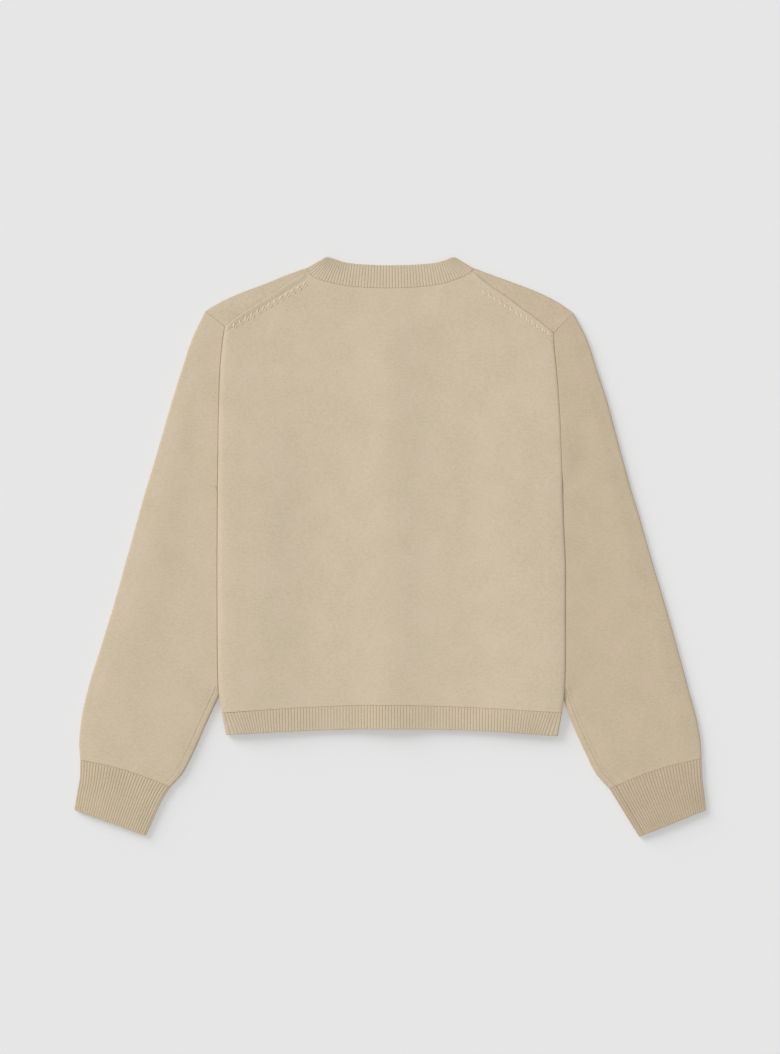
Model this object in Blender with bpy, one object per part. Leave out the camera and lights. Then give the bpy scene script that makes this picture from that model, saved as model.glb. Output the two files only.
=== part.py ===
"""A long-sleeved knitted cardigan, laid face down with its sleeves beside the body.

+X is to the right of the back as it lies, +Y towards the neck, +Z up from the surface it lies on.
Tables hold millimetres, and MM turns them into metres where a mesh is made. The lower layer is
the fronts and the under halves of the sleeves, flat on the surface. The upper layer is the back,
with the strip of each front that folds over the shoulder to the back's shoulder seam.
"""
import math
from collections import namedtuple

import bmesh
import bpy
import numpy as np
from mathutils import Matrix

MM = 0.001

# Cloth.
CLOTH = 2.0             # thickness of the jersey
SEAM_GAP = 0.3          # between sewn pieces, and between layers at a side seam
FOLD_SPACE = 0.6        # between the layers just inside a fold
FOLD_REACH = 2.3        # a fold's round edge, seen from above
RIB_CREST = 2.4         # rib cloth at a raised rib
RIB_VALLEY = 1.4        # rib cloth between two ribs
POINTS_PER_RIB = 3      # a valley and the two edges of a crest
RIBS_PER_SPAN = 4       # ribs over each flat strip of a ribbed wall's plain inside

# Ribs across each visible ribbed piece.
NECK_RIBS = 56
CUFF_RIBS = 30
HEM_RIBS = 112

# Placket: two bands on each other, buttoned. The buttons lie under them.
BAND_WIDTH = 25.0
BUTTONS = 7
BUTTON_RADIUS = 7.5
BUTTON_THICKNESS = 2.0
BUTTON_BEVEL = 0.5
BUTTON_SIDES = 16
BUTTON_HOLE_RADIUS = 0.9
BUTTON_HOLE_SPACING = 3.2
BUTTON_HOLE_SIDES = 6
LOWEST_BUTTON_Y = -209.0
HIGHEST_BUTTON_Y = 243.0
BUTTON_LIFT = 2.9       # how far the band rises off the surface over each button
LIFT_FLAT = 9.0         # half width of that rise where it is level
LIFT_END = 27.0         # and where it ends
UNDERLAP_END = 50.0     # where the left front has come down to the surface again

# How the upper layer swells between its edges.
BODY_PUFF = 1.6
SLEEVE_PUFF = 2.2
PUFF_REACH = 24.0
SLEEVE_FLAT = 20.0      # the sleeve stays flat this far out from under the body
PLACKET_RIDGE = 3.9
PLACKET_RIDGE_WIDTH = 26.0
PLACKET_TOP_Y = 262.0
PLACKET_FADE = 43.0
NECK_DROOP = 1.7        # the back sinks where no front lies under it
NECK_DROOP_REACH = 35.0
ARMHOLE_LIFT = 1.0      # the body's edge stands above the sleeve's at the armhole

# The body's sides lie on the inner edges of the sleeves.
TUCK_RISE = 2 * CLOTH + FOLD_SPACE + SEAM_GAP
TUCK_WIDTH = 50.0
TUCK_SLOPE = 30.0

# Finish, as linear red, green and blue.
JERSEY_COLOUR = (0.59, 0.50, 0.37)
RIB_COLOUR = (0.55, 0.46, 0.33)
BUTTON_COLOUR = (0.42, 0.33, 0.22)
CLOTH_ROUGHNESS = 0.95
BUTTON_ROUGHNESS = 0.35
SMOOTH_DEGREES = 35.0   # faces of a button that meet at less are shaded as one

# Steps.
HALF_TURN = (135.0, 90.0, 45.0)     # degrees round a fold, between its lower and upper walls
SHOULDER_SHARES = (0.0, 0.2, 0.4, 0.6, 0.8, 1.0)
YOKE_SHARES = (0.5, 1.0)
LOWER_INSET = 13.0                  # last row of a front before its shoulder fold
FRONT_HEM_GROWTH = 1.25             # how much closer a front's hem columns are at its band
SLEEVE_UPPER_COLUMNS = 8
SLEEVE_LOWER_COLUMNS = 4
CUFF_LOWER_COLUMNS = 4

LEFT, RIGHT = "left", "right"
SIGN = {LEFT: -1.0, RIGHT: 1.0}

# A line across a tube: the (x, y) of its folds or edges, how far its middle bows, and whether it
# has an inner fold.
Section = namedtuple("Section", "outer_fold back_edge front_edge bow closed")


def table(columns, *rows):
    """Rows of millimetres with named columns."""
    row_type = namedtuple("Row", columns)
    return [row_type(*row) for row in rows]


# The body's side edges, from the hem's end to the shoulder seam.
SIDE_EDGE = table(
    "y left right",
    (-230.0, -199.8, 204.4),
    (-201.7, -204.7, 209.4),
    (-185.0, -207.6, 211.8),
    (-160.0, -209.5, 213.4),
    (-130.0, -210.1, 213.9),
    (-30.0, -210.4, 213.9),
    (30.0, -210.2, 211.6),
    (103.0, -209.6, 209.2),
    (165.0, -208.8, 206.8),
    (213.0, -207.4, 203.4),
    (250.0, -204.3, 200.0),
    (268.7, -201.1, 199.2),
)
# Where the hem rib is sewn on, and where it ends.
HEM = table(
    "seam_x seam_y end_x end_y",
    (-204.7, -201.7, -199.8, -229.1),
    (-109.7, -195.8, -107.0, -224.2),
    (-12.0, -192.5, -12.0, -221.8),
    (85.3, -195.0, 83.0, -223.0),
    (209.4, -201.7, 204.4, -230.3),
)
# The shoulder, from the neck out: its fold, and the back's shoulder seam.
SHOULDER_FOLD = table(
    "left_x left_y right_x right_y",
    (-100.8, 340.8, 101.7, 340.4),
    (-127.0, 331.3, 127.0, 330.8),
    (-153.0, 320.6, 153.0, 321.4),
    (-179.0, 311.0, 179.0, 311.4),
    (-205.0, 299.5, 204.0, 299.0),
    (-225.1, 287.8, 223.6, 285.4),
)
SHOULDER_SEAM = table(
    "left_x left_y right_x right_y",
    (-99.3, 337.0, 99.8, 336.6),
    (-119.0, 325.3, 120.0, 320.0),
    (-140.0, 310.9, 140.0, 306.2),
    (-160.0, 297.6, 160.0, 291.4),
    (-181.0, 284.2, 180.0, 277.0),
    (-201.1, 268.7, 199.2, 260.8),
)
# Lines across the neckband, from its seam to its free edge, along the back from fold to fold.
NECK_BACK = table(
    "seam_x seam_y top_x top_y",
    (-100.8, 340.8, -79.0, 353.4),
    (-99.3, 337.0, -75.9, 353.4),
    (-96.8, 331.9, -74.0, 352.9),
    (-92.5, 328.8, -72.2, 352.4),
    (-85.6, 326.0, -69.6, 351.6),
    (-74.7, 322.6, -63.5, 349.7),
    (-62.6, 320.0, -56.2, 347.4),
    (-48.7, 318.0, -45.0, 345.7),
    (-25.0, 316.2, -23.3, 344.1),
    (-12.5, 315.8, -11.7, 343.7),
    (0.0, 315.6, 0.0, 343.6),
    (12.5, 315.9, 11.7, 343.7),
    (24.5, 316.4, 23.0, 344.0),
    (47.0, 318.3, 43.5, 345.3),
    (62.0, 320.7, 55.8, 346.6),
    (74.5, 324.0, 64.5, 348.8),
    (86.0, 328.2, 70.8, 350.9),
    (93.5, 331.6, 73.6, 352.2),
    (97.4, 333.6, 75.2, 352.8),
    (99.8, 336.6, 76.9, 353.3),
    (101.7, 340.4, 80.2, 353.2),
)
# The same on the left front, from the front edge to the last line before the fold. The right
# front mirrors it.
NECK_FRONT = table(
    "seam_x seam_y top_x top_y",
    (-12.8, 229.5, -12.8, 256.5),
    (-27.0, 231.6, -24.0, 258.4),
    (-45.0, 238.0, -36.0, 263.5),
    (-60.0, 248.0, -46.5, 271.5),
    (-72.0, 259.5, -54.5, 280.5),
    (-82.0, 273.5, -61.0, 291.0),
    (-89.5, 289.0, -66.0, 302.5),
    (-95.0, 305.0, -70.0, 315.5),
    (-98.5, 318.5, -72.6, 327.0),
    (-99.8, 330.0, -74.8, 339.0),
)
# The front armhole, where it is hidden under the back, from the underarm up. The last row lies
# on the seam that closes the sleeve's top.
FRONT_ARMHOLE = table(
    "left_x left_y right_x right_y",
    (-207.9, 116.0, 207.3, 111.0),
    (-206.4, 158.0, 204.8, 152.5),
    (-206.3, 200.0, 202.2, 194.0),
    (-208.2, 242.0, 201.5, 236.0),
    (-215.0, 279.8, 214.4, 276.1),
)
# The sleeve's outer fold at each station along the armhole, from below the shoulder down.
SLEEVE_SEWN = table(
    "left_x left_y right_x right_y",
    (-241.8, 252.4, 240.4, 252.4),
    (-254.7, 213.5, 253.3, 213.5),
    (-267.0, 174.3, 265.9, 174.3),
    (-278.1, 135.5, 276.3, 135.5),
    (-289.3, 97.3, 286.7, 97.3),
)
# The stations below the underarm: the outer fold, and the inner fold, at first under the body.
SLEEVE_FREE = table(
    "outer_left outer_right outer_y inner_left inner_right inner_y",
    (-296.6, 293.1, 73.5, -190.0, 191.0, 40.0),
    (-305.2, 302.4, 43.0, -172.5, 174.0, 5.0),
    (-319.7, 317.2, -9.0, -171.5, 173.0, -52.0),
    (-335.5, 334.2, -66.0, -183.5, 185.5, -110.0),
    (-352.5, 350.2, -122.0, -201.5, 204.5, -165.0),
    (-368.0, 363.7, -172.0, -222.7, 221.4, -213.0),
    (-377.0, 375.1, -215.0, -241.0, 239.7, -254.0),
    (-379.0, 379.0, -239.5, -252.3, 250.5, -275.5),
)
# Lines across each cuff, from its seam down. The bow lifts the middle of the line.
CUFF = table(
    "outer_left_x outer_left_y inner_left_x inner_left_y "
    "outer_right_x outer_right_y inner_right_x inner_right_y bow",
    (-377.9, -259.3, -267.5, -292.5, 380.0, -257.5, 267.0, -294.5, 4.0),
    (-378.4, -278.0, -276.3, -306.0, 381.2, -282.0, 277.5, -311.5, 2.0),
    (-381.6, -299.0, -286.8, -328.0, 383.5, -301.0, 289.5, -331.0, 1.0),
    (-385.2, -320.5, -297.7, -351.9, 385.6, -320.5, 303.4, -353.4, 0.0),
)
# Soft folds of the back: a ridge where the height is positive, else a trough.
BODY_FOLDS = table(
    "top_x top_y bottom_x bottom_y half_width height",
    (-150.0, 200.0, -148.0, -160.0, 24.0, 0.9),
    (-82.0, 180.0, -84.0, -120.0, 26.0, -0.6),
    (78.0, 40.0, 56.0, -176.0, 22.0, 0.6),
    (135.0, 170.0, 137.0, -110.0, 24.0, 0.8),
)
# How much of the rise over the sleeve is left down through the hem rib.
HEM_FADE = table(
    "y share",
    (-230.0, 0.25),
    (-201.7, 0.92),
    (-186.0, 1.0),
)
# The opening of the front neck under the back: its half width at each height.
NECK_OPENING = table(
    "y half_width",
    (257.0, 0.0),
    (263.0, 36.0),
    (278.0, 53.0),
    (296.0, 63.0),
    (314.0, 70.0),
    (338.0, 73.5),
    (354.0, 79.0),
)

BUTTON_PITCH = (HIGHEST_BUTTON_Y - LOWEST_BUTTON_Y) / (BUTTONS - 1)
BUTTON_HEIGHTS = [LOWEST_BUTTON_Y + index * BUTTON_PITCH for index in range(BUTTONS)]
FRONT_EDGE = BAND_WIDTH / 2 + SEAM_GAP
FOLD_HEIGHT = 2 * CLOTH + FOLD_SPACE


def point(x, y):
    return np.array((x, y), dtype=float)


def side_point(row, side):
    """The (x, y) that a row gives for one side."""
    return point(getattr(row, side + "_x"), getattr(row, side + "_y"))


def unit(vector):
    return vector / np.linalg.norm(vector)


def mix(first, second, share):
    return first + (second - first) * share


def ease(value):
    """0 to 1, with a soft start and a soft end."""
    value = min(max(value, 0.0), 1.0)
    return value * value * (3.0 - 2.0 * value)


def swell(value):
    """0 to 1, steep at first and then level, as cloth rises from a fold."""
    return math.sin(math.pi / 2 * min(max(value, 0.0), 1.0))


def look_up(rows, key, column, at):
    return float(np.interp(at, [getattr(row, key) for row in rows],
                           [getattr(row, column) for row in rows]))


def hem_seam(x):
    return point(x, look_up(HEM, "seam_x", "seam_y", x))


def hem_end(x):
    return point(x, look_up(HEM, "end_x", "end_y", x))


def side_x(side, y):
    return look_up(SIDE_EDGE, "y", side, y)


# The body's rows go through each button and halfway between: shares from hem seam to neck.
HEM_SEAM_Y = float(hem_seam(-FRONT_EDGE)[1])
NECK_SEAM_Y = NECK_FRONT[0].seam_y
ROW_HEIGHTS = [height + half * BUTTON_PITCH / 2
               for height in BUTTON_HEIGHTS for half in (-1, 0)]
BODY_ROWS = [0.0] + [(height - HEM_SEAM_Y) / (NECK_SEAM_Y - HEM_SEAM_Y) for height in ROW_HEIGHTS
                     if HEM_SEAM_Y < height < NECK_SEAM_Y] + [1.0]
UNDERARM_ROW = len(BODY_ROWS) - 1 - len(FRONT_ARMHOLE)


def side_edge_points(side):
    """The body's side edge at each body row, up to the shoulder seam."""
    corner = HEM[0] if side == LEFT else HEM[-1]
    heights = [mix(corner.seam_y, side_point(SHOULDER_SEAM[-1], side)[1], share)
               for share in BODY_ROWS]
    return [point(side_x(side, height), height) for height in heights]


def front_side_points(side):
    """The front's outer edge at each body row: the side edge, then the front armhole."""
    below = side_edge_points(side)[:UNDERARM_ROW + 1]
    return below + [side_point(row, side) for row in FRONT_ARMHOLE]


def inward(side):
    """From a sleeve towards the body, half a seam gap."""
    return point(-SIGN[side], 0.0) * SEAM_GAP / 2


def above_sleeve(side):
    """Across the seam that closes the sleeve's top, half a seam gap towards the yoke."""
    along = unit(side_point(SHOULDER_SEAM[-1], side) - side_point(SHOULDER_FOLD[-1], side))
    return point(-along[1] * -SIGN[side], along[0] * -SIGN[side]) * SEAM_GAP / 2


def button_rise(x, y):
    """How far the buttons lift the cloth that lies on them."""
    nearest = min(abs(y - height) for height in BUTTON_HEIGHTS)
    along = max(0.0, 1.0 - nearest / (BUTTON_PITCH / 2))
    across = 1.0 - ease((abs(x) - LIFT_FLAT) / (LIFT_END - LIFT_FLAT))
    return BUTTON_LIFT * along * across


def tuck_rise(side, x, y):
    """How far the sleeve lifts the body's side above it."""
    rows = side_edge_points(side)
    under = 1.0 - (y - rows[UNDERARM_ROW][1]) / (rows[UNDERARM_ROW + 1] - rows[UNDERARM_ROW])[1]
    below = look_up(HEM_FADE, "y", "share", y)
    away = abs(side_x(side, y)) - abs(x)
    across = 1.0 - ease((away - TUCK_WIDTH) / TUCK_SLOPE)
    return TUCK_RISE * across * min(1.0, max(0.0, under)) * below


def side_of(x):
    return LEFT if x < 0.0 else RIGHT


def lower_base(side, x, y):
    """Underside of the lower layer."""
    base = button_rise(x, y) + tuck_rise(side, x, y)
    if side == LEFT:
        away = (abs(x) - FRONT_EDGE) / (UNDERLAP_END - FRONT_EDGE)
        base += (CLOTH + SEAM_GAP) * (1.0 - ease(away))
    return base


def fold_line_y(x):
    """The body's top outline: the shoulder folds and the neckband's free edge."""
    rows = [(row.left_x, row.left_y) for row in reversed(SHOULDER_FOLD)]
    rows += [(row.top_x, row.top_y) for row in NECK_BACK]
    rows += [(row.right_x, row.right_y) for row in SHOULDER_FOLD]
    return float(np.interp(x, [row[0] for row in rows], [row[1] for row in rows]))


def neck_droop(x, y):
    """How far the back sinks into the front neck's opening."""
    half_width = look_up(NECK_OPENING, "y", "half_width", y)
    across = ease((half_width - abs(x)) / NECK_DROOP_REACH)
    return NECK_DROOP * across * ease((y - PLACKET_TOP_Y) / PLACKET_FADE)


def soft_folds(x, y):
    """The back's own folds."""
    height = 0.0
    for fold in BODY_FOLDS:
        along = (fold.top_y - y) / (fold.top_y - fold.bottom_y)
        if 0.0 < along < 1.0:
            middle = mix(fold.top_x, fold.bottom_x, along)
            across = math.exp(-((x - middle) / fold.half_width) ** 2)
            height += fold.height * across * math.sin(math.pi * along)
    return height


def upper_base(x, y):
    """Underside of the upper layer of the body."""
    side = side_of(x)
    from_side = abs(side_x(side, y)) - abs(x)
    from_fold = fold_line_y(x) - y
    free = swell(from_side / PUFF_REACH) * swell(from_fold / PUFF_REACH)
    base = CLOTH + SEAM_GAP + (FOLD_SPACE - SEAM_GAP) * ease(from_side / FOLD_REACH)
    base += tuck_rise(side, x, y) + BODY_PUFF * free + soft_folds(x, y) * free
    ridge_end = 1.0 - ease((y - PLACKET_TOP_Y) / PLACKET_FADE)
    base += PLACKET_RIDGE * math.exp(-(x / PLACKET_RIDGE_WIDTH) ** 2) * ridge_end
    underarm = side_edge_points(side)[UNDERARM_ROW][1]
    sewn = ease((y - underarm) / BUTTON_PITCH) * (1.0 - swell(from_side / PUFF_REACH))
    return base + ARMHOLE_LIFT * sewn * swell(from_fold / PUFF_REACH) - neck_droop(x, y)


def at_height(place, height):
    return (place[0] * MM, place[1] * MM, height * MM)


def fold_place(edge, to_front, to_back, base, height, degrees, depth):
    """A point round a fold: 0 degrees on top, 180 below, depth 0 on the outer face."""
    angle = math.radians(degrees)
    toward = mix(to_front, to_back, (1.0 + math.cos(angle)) / 2)
    inset = FOLD_REACH - (FOLD_REACH - depth) * math.sin(angle)
    middle = base + height / 2
    return at_height(edge + toward * inset, middle + (height / 2 - depth) * math.cos(angle))


def rib_height(index):
    """Thickness of rib cloth at a point along it: every third point is a valley."""
    return RIB_VALLEY if index % POINTS_PER_RIB == 0 else RIB_CREST


def rib_stops(ribs, first=0):
    """The points of a ribbed wall that its plain inside also has."""
    step = POINTS_PER_RIB * RIBS_PER_SPAN
    return list(range(first, first + ribs * POINTS_PER_RIB, step))


def add_object(name, mesh, finish):
    """Close a mesh's book-keeping: faces out, its material, its place in the collection."""
    bmesh.ops.recalc_face_normals(mesh, faces=mesh.faces)
    data = bpy.data.meshes.new(name)
    mesh.to_mesh(data)
    mesh.free()
    data.materials.append(finish)
    piece = bpy.data.objects.new(name, data)
    bpy.data.collections["cardigan"].objects.link(piece)
    return piece


def wall(name, finish, outer, inner, stops=None, ring=False, kept=None):
    """Loft a closed cloth wall between unlike sections.

    outer and inner hold a row of points for each section. inner has a point at each of outer's
    stops, or at all of them. A ring joins each section's end to its start. kept says which
    cells are there, and the wall is closed along every edge where a cell has no neighbour.
    """
    width = len(outer[0])
    stops = stops or list(range(width))
    cell_columns = len(stops) if ring else len(stops) - 1
    ends = stops[1:] + ([width] if ring else [])
    cells = {(row, column) for row in range(len(outer) - 1) for column in range(cell_columns)
             if kept is None or kept(row, column)}
    mesh = bmesh.new()
    made = {}

    def corner(layer, row, column):
        points = outer if layer == "outer" else inner
        column %= len(points[0])
        if (layer, row, column) not in made:
            made[layer, row, column] = mesh.verts.new(points[row][column])
        return made[layer, row, column]

    for row, column in sorted(cells):
        fine = range(stops[column], ends[column] + 1)
        for step in fine[:-1]:
            mesh.faces.new([corner("outer", row, step), corner("outer", row, step + 1),
                            corner("outer", row + 1, step + 1), corner("outer", row + 1, step)])
        mesh.faces.new([corner("inner", row, column), corner("inner", row + 1, column),
                        corner("inner", row + 1, column + 1), corner("inner", row, column + 1)])
        before = (column - 1) % cell_columns if ring else column - 1
        after = (column + 1) % cell_columns if ring else column + 1
        for edge_row, neighbour in ((row, row - 1), (row + 1, row + 1)):
            if (neighbour, column) not in cells:
                rim = [corner("outer", edge_row, step) for step in fine]
                mesh.faces.new(rim + [corner("inner", edge_row, column + 1),
                                      corner("inner", edge_row, column)])
        for stop, neighbour in ((column, before), (column + 1, after)):
            if (row, neighbour) not in cells:
                edge = fine[0] if stop == column else fine[-1]
                mesh.faces.new([corner("outer", row, edge), corner("outer", row + 1, edge),
                                corner("inner", row + 1, stop), corner("inner", row, stop)])
    return add_object(name, mesh, finish)


def patch(bottom, top, left, right):
    """Points between four edges that meet at their ends: a row for each body row."""
    rows = []
    last = len(bottom) - 1
    for index, share in enumerate(BODY_ROWS):
        first_off = left[index] - mix(bottom[0], top[0], share)
        last_off = right[index] - mix(bottom[-1], top[-1], share)
        rows.append([mix(bottom[k], top[k], share) + mix(first_off, last_off, k / last)
                     for k in range(last + 1)])
    return rows


def across_neckband(row):
    """Unit step over the neckband from its seam, and its two ends."""
    seam, top = point(row.seam_x, row.seam_y), point(row.top_x, row.top_y)
    return unit(top - seam), seam, top


def panel_neck_point(row):
    step, seam, _ = across_neckband(row)
    return seam - step * SEAM_GAP / 2


def shoulder_seam_point(side, index, towards):
    """A point of the shoulder seam, half a gap to the back (-1) or to the yoke (+1)."""
    here = side_point(SHOULDER_SEAM[index], side)
    near = side_point(SHOULDER_SEAM[max(index - 1, 0)], side)
    far = side_point(SHOULDER_SEAM[min(index + 1, len(SHOULDER_SEAM) - 1)], side)
    along = unit(far - near)
    outward = point(along[1] * -SIGN[side], along[0] * SIGN[side])
    return here + outward * towards * SEAM_GAP / 2


def neck_shift(index):
    """How the neck seam moves a panel's edge at a line of NECK_BACK."""
    return -across_neckband(NECK_BACK[index])[0] * SEAM_GAP / 2


def build_back(finish):
    """The back: one panel from hem seam to neck, with diagonal shoulders."""
    left = [shoulder_seam_point(LEFT, index, -1) for index in range(len(SHOULDER_SEAM))]
    right = [shoulder_seam_point(RIGHT, index, -1) for index in range(len(SHOULDER_SEAM))]
    left[0] += neck_shift(1)
    right[0] += neck_shift(-2)
    left[-1] += inward(LEFT)
    right[-1] += inward(RIGHT)
    top = left[::-1] + [panel_neck_point(row) for row in NECK_BACK[2:-2]] + right
    low = point(0.0, SEAM_GAP / 2)
    left_edge = [place + inward(LEFT) for place in side_edge_points(LEFT)]
    right_edge = [place + inward(RIGHT) for place in side_edge_points(RIGHT)]
    left_edge[-1], right_edge[-1] = top[0], top[-1]
    bottom = [hem_seam(x) + low for x in np.linspace(HEM[0].seam_x + SEAM_GAP / 2,
                                                     HEM[-1].seam_x - SEAM_GAP / 2, len(top))]
    left_edge[0], right_edge[0] = bottom[0], bottom[-1]
    places = patch(bottom, top, left_edge, right_edge)
    lower = [[at_height(place, upper_base(*place)) for place in row] for row in places]
    upper = [[at_height(place, upper_base(*place) + CLOTH) for place in row] for row in places]
    return wall("back_panel", finish, upper, lower)


def front_neck_rows(side):
    """Lines across the neckband on one front, from the front edge to the fold."""
    row_type = type(NECK_FRONT[0])
    return [row_type(row.seam_x * -SIGN[side], row.seam_y, row.top_x * -SIGN[side], row.top_y)
            for row in NECK_FRONT]


def build_front(side, finish):
    """A front: the lower sheet, the shoulder fold and the yoke strip on the back."""
    neck_rows = front_neck_rows(side)
    neck = [panel_neck_point(row) for row in neck_rows]
    first_fold = len(neck) - 1
    outline = front_side_points(side)
    fold = [side_point(row, side) for row in SHOULDER_FOLD]
    seam = [shoulder_seam_point(side, index, 1) for index in range(len(fold))]
    fold_row = NECK_BACK[0] if side == LEFT else NECK_BACK[-1]
    near_row = 1 if side == LEFT else -2
    fold[0] = panel_neck_point(fold_row)
    seam[0] += neck_shift(near_row)
    fold[-1] += above_sleeve(side)
    seam[-1] += above_sleeve(side)
    to_back = [unit(there - here) for here, there in zip(fold, seam)]
    neckward = unit(neck[-1] - fold[0])
    to_front = [mix(neckward, to_back[-1], share) for share in SHOULDER_SHARES]

    top = neck + [here + step * LOWER_INSET for here, step in zip(fold[1:], to_front[1:])]
    outer_edge = [place + inward(side) for place in outline]
    top[-1] = outline[-1] + above_sleeve(side) + inward(side)
    outer_edge[-1] = top[-1]
    low = point(0.0, SEAM_GAP / 2)
    ends = (SIGN[side] * FRONT_EDGE, side_edge_points(side)[0][0] + inward(side)[0])
    bottom = [hem_seam(x) + low for x in front_hem_columns(ends, len(top))]
    outer_edge[0] = bottom[-1]
    inner_edge = [mix(bottom[0], top[0], share) for share in BODY_ROWS]
    places = patch(bottom, top, inner_edge, outer_edge)
    outer = [[at_height(place, lower_base(side, *place)) for place in row] for row in places]
    inner = [[at_height(place, lower_base(side, *place) + CLOTH) for place in row]
             for row in places]

    # The rows over the shoulder start at the fold, so the neck's columns stay unused in them.
    unused = [(0.0, 0.0, 0.0)] * first_fold
    heights = [upper_base(*(here + step * FOLD_REACH)) + CLOTH
               for here, step in zip(fold, to_back)]
    for degrees in (180.0,) + HALF_TURN + (0.0,):
        for rows, depth in ((outer, 0.0), (inner, CLOTH)):
            rows.append(unused + [fold_place(*values, degrees, depth) for values in
                                 zip(fold, to_front, to_back, [0.0] * len(fold), heights)])
    for share in YOKE_SHARES:
        strip = [mix(here + step * FOLD_REACH, there, share)
                 for here, step, there in zip(fold, to_back, seam)]
        outer.append(unused + [at_height(place, upper_base(*place) + CLOTH) for place in strip])
        inner.append(unused + [at_height(place, upper_base(*place)) for place in strip])
    body_spans = len(BODY_ROWS) - 1
    return wall("front_" + side, finish, outer, inner,
                kept=lambda row, column: row < body_spans or column >= first_fold)


def front_hem_columns(ends, count):
    """Columns along a front's hem, closer at the band, where the front rises to it."""
    return [mix(ends[0], ends[1], (k / (count - 1)) ** FRONT_HEM_GROWTH) for k in range(count)]


def build_front_hem(side, finish):
    """The hem rib of a front, flat below."""
    ends = (SIGN[side] * FRONT_EDGE, side_edge_points(side)[0][0])
    columns = front_hem_columns(ends, len(NECK_FRONT) + len(SHOULDER_FOLD) - 1)
    low = point(0.0, SEAM_GAP / 2)
    end_scale = side_x(side, SIDE_EDGE[0].y) / ends[1]
    sections = [[hem_seam(x) - low for x in columns],
                [hem_end(x * mix(1.0, end_scale, abs(x / ends[1]))) for x in columns]]
    sections.insert(1, [mix(*pair, 0.5) for pair in zip(*sections)])
    outer = [[at_height(place, lower_base(side, *place)) for place in row] for row in sections]
    inner = [[at_height(place, lower_base(side, *place) + CLOTH) for place in row]
             for row in sections]
    return wall("hem_rib_front_" + side, finish, outer, inner)


def build_back_hem(finish):
    """The back's hem rib, its ribs raised on top."""
    count = HEM_RIBS * POINTS_PER_RIB
    low = point(0.0, SEAM_GAP / 2)
    seam_xs = np.linspace(HEM[0].seam_x, HEM[-1].seam_x, count + 1)
    end_xs = np.linspace(HEM[0].end_x, HEM[-1].end_x, count + 1)
    sections = [[hem_seam(x) - low for x in seam_xs], [hem_end(x) for x in end_xs]]
    stops = rib_stops(HEM_RIBS) + [count]
    outer = [[at_height(place, upper_base(*place) + rib_height(index))
              for index, place in enumerate(row)] for row in sections]
    inner = [[at_height(row[stop], upper_base(*row[stop])) for stop in stops]
             for row in sections]
    return wall("hem_rib_back", finish, outer, inner, stops)


def rib_lines(fold_left, fold_right):
    """Lines across the back neckband, evenly spaced along its seam between the two folds."""
    ends = [across_neckband(row)[1:] for row in NECK_BACK]
    ends[0], ends[-1] = fold_left, fold_right
    lengths = [0.0]
    for near, far in zip(ends, ends[1:]):
        lengths.append(lengths[-1] + float(np.linalg.norm(far[0] - near[0])))
    places = np.linspace(0.0, lengths[-1], NECK_RIBS * POINTS_PER_RIB + 1)

    def along(end, axis):
        return np.interp(places, lengths, [pair[end][axis] for pair in ends])

    return [(point(*seam), point(*top)) for seam, top in
            zip(zip(along(0, 0), along(0, 1)), zip(along(1, 0), along(1, 1)))]


def build_neckband(finish):
    """One ribbed strip: up the left front, over the fold, along the back and down again."""
    widths = (0.0, 0.5, 1.0)
    left_rows, right_rows = front_neck_rows(LEFT), front_neck_rows(RIGHT)
    folds = {}
    for side, fold_row, back_row, front_row in (
            (LEFT, NECK_BACK[0], NECK_BACK[1], left_rows[-1]),
            (RIGHT, NECK_BACK[-1], NECK_BACK[-2], right_rows[-1])):
        _, seam, top = across_neckband(fold_row)
        to_back = [unit(there - here) for here, there in
                   zip((seam, top), across_neckband(back_row)[1:])]
        to_front = [unit(there - here) for here, there in
                    zip((seam, top), across_neckband(front_row)[1:])]
        folds[side] = ((seam, top), to_front, to_back)
    starts = {side: [here + step * FOLD_REACH for here, step in zip(edge, to_back)]
              for side, (edge, _, to_back) in folds.items()}
    lines = rib_lines(starts[LEFT], starts[RIGHT])

    def across(seam, top, share):
        start = seam + unit(top - seam) * SEAM_GAP / 2
        return mix(start, top, share)

    def front_points(side, share, depth):
        rows = left_rows if side == LEFT else right_rows
        places = [across(*across_neckband(row)[1:], share) for row in rows]
        return [at_height(place, lower_base(side, *place) + depth) for place in places]

    def fold_points(side, share, depth):
        edge, to_front, to_back = folds[side]
        place = across(*edge, share)
        steps = (mix(*to_front, share), mix(*to_back, share))
        top = upper_base(*(place + steps[1] * FOLD_REACH)) + RIB_VALLEY
        return [fold_place(place, *steps, 0.0, top, degrees, depth)
                for degrees in (180.0,) + HALF_TURN]

    outer, inner = [], []
    lead = len(left_rows) + 1 + len(HALF_TURN)
    back_stops = rib_stops(NECK_RIBS, lead) + [lead + len(lines) - 1]
    for share in widths:
        backs = [across(seam, top, share) for seam, top in lines]
        raised = [at_height(place, upper_base(*place) + rib_height(index))
                  for index, place in enumerate(backs)]
        plain = [at_height(backs[stop - lead], upper_base(*backs[stop - lead]))
                 for stop in back_stops]
        for rows, depth, middle in ((outer, 0.0, raised), (inner, RIB_VALLEY, plain)):
            rows.append(front_points(LEFT, share, depth) + fold_points(LEFT, share, depth)
                        + middle + fold_points(RIGHT, share, depth)[::-1]
                        + front_points(RIGHT, share, depth)[::-1])
    after = lead + len(lines)
    stops = list(range(lead)) + back_stops + list(range(after, after + lead))
    return wall("neckband", finish, outer, inner, stops)


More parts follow.
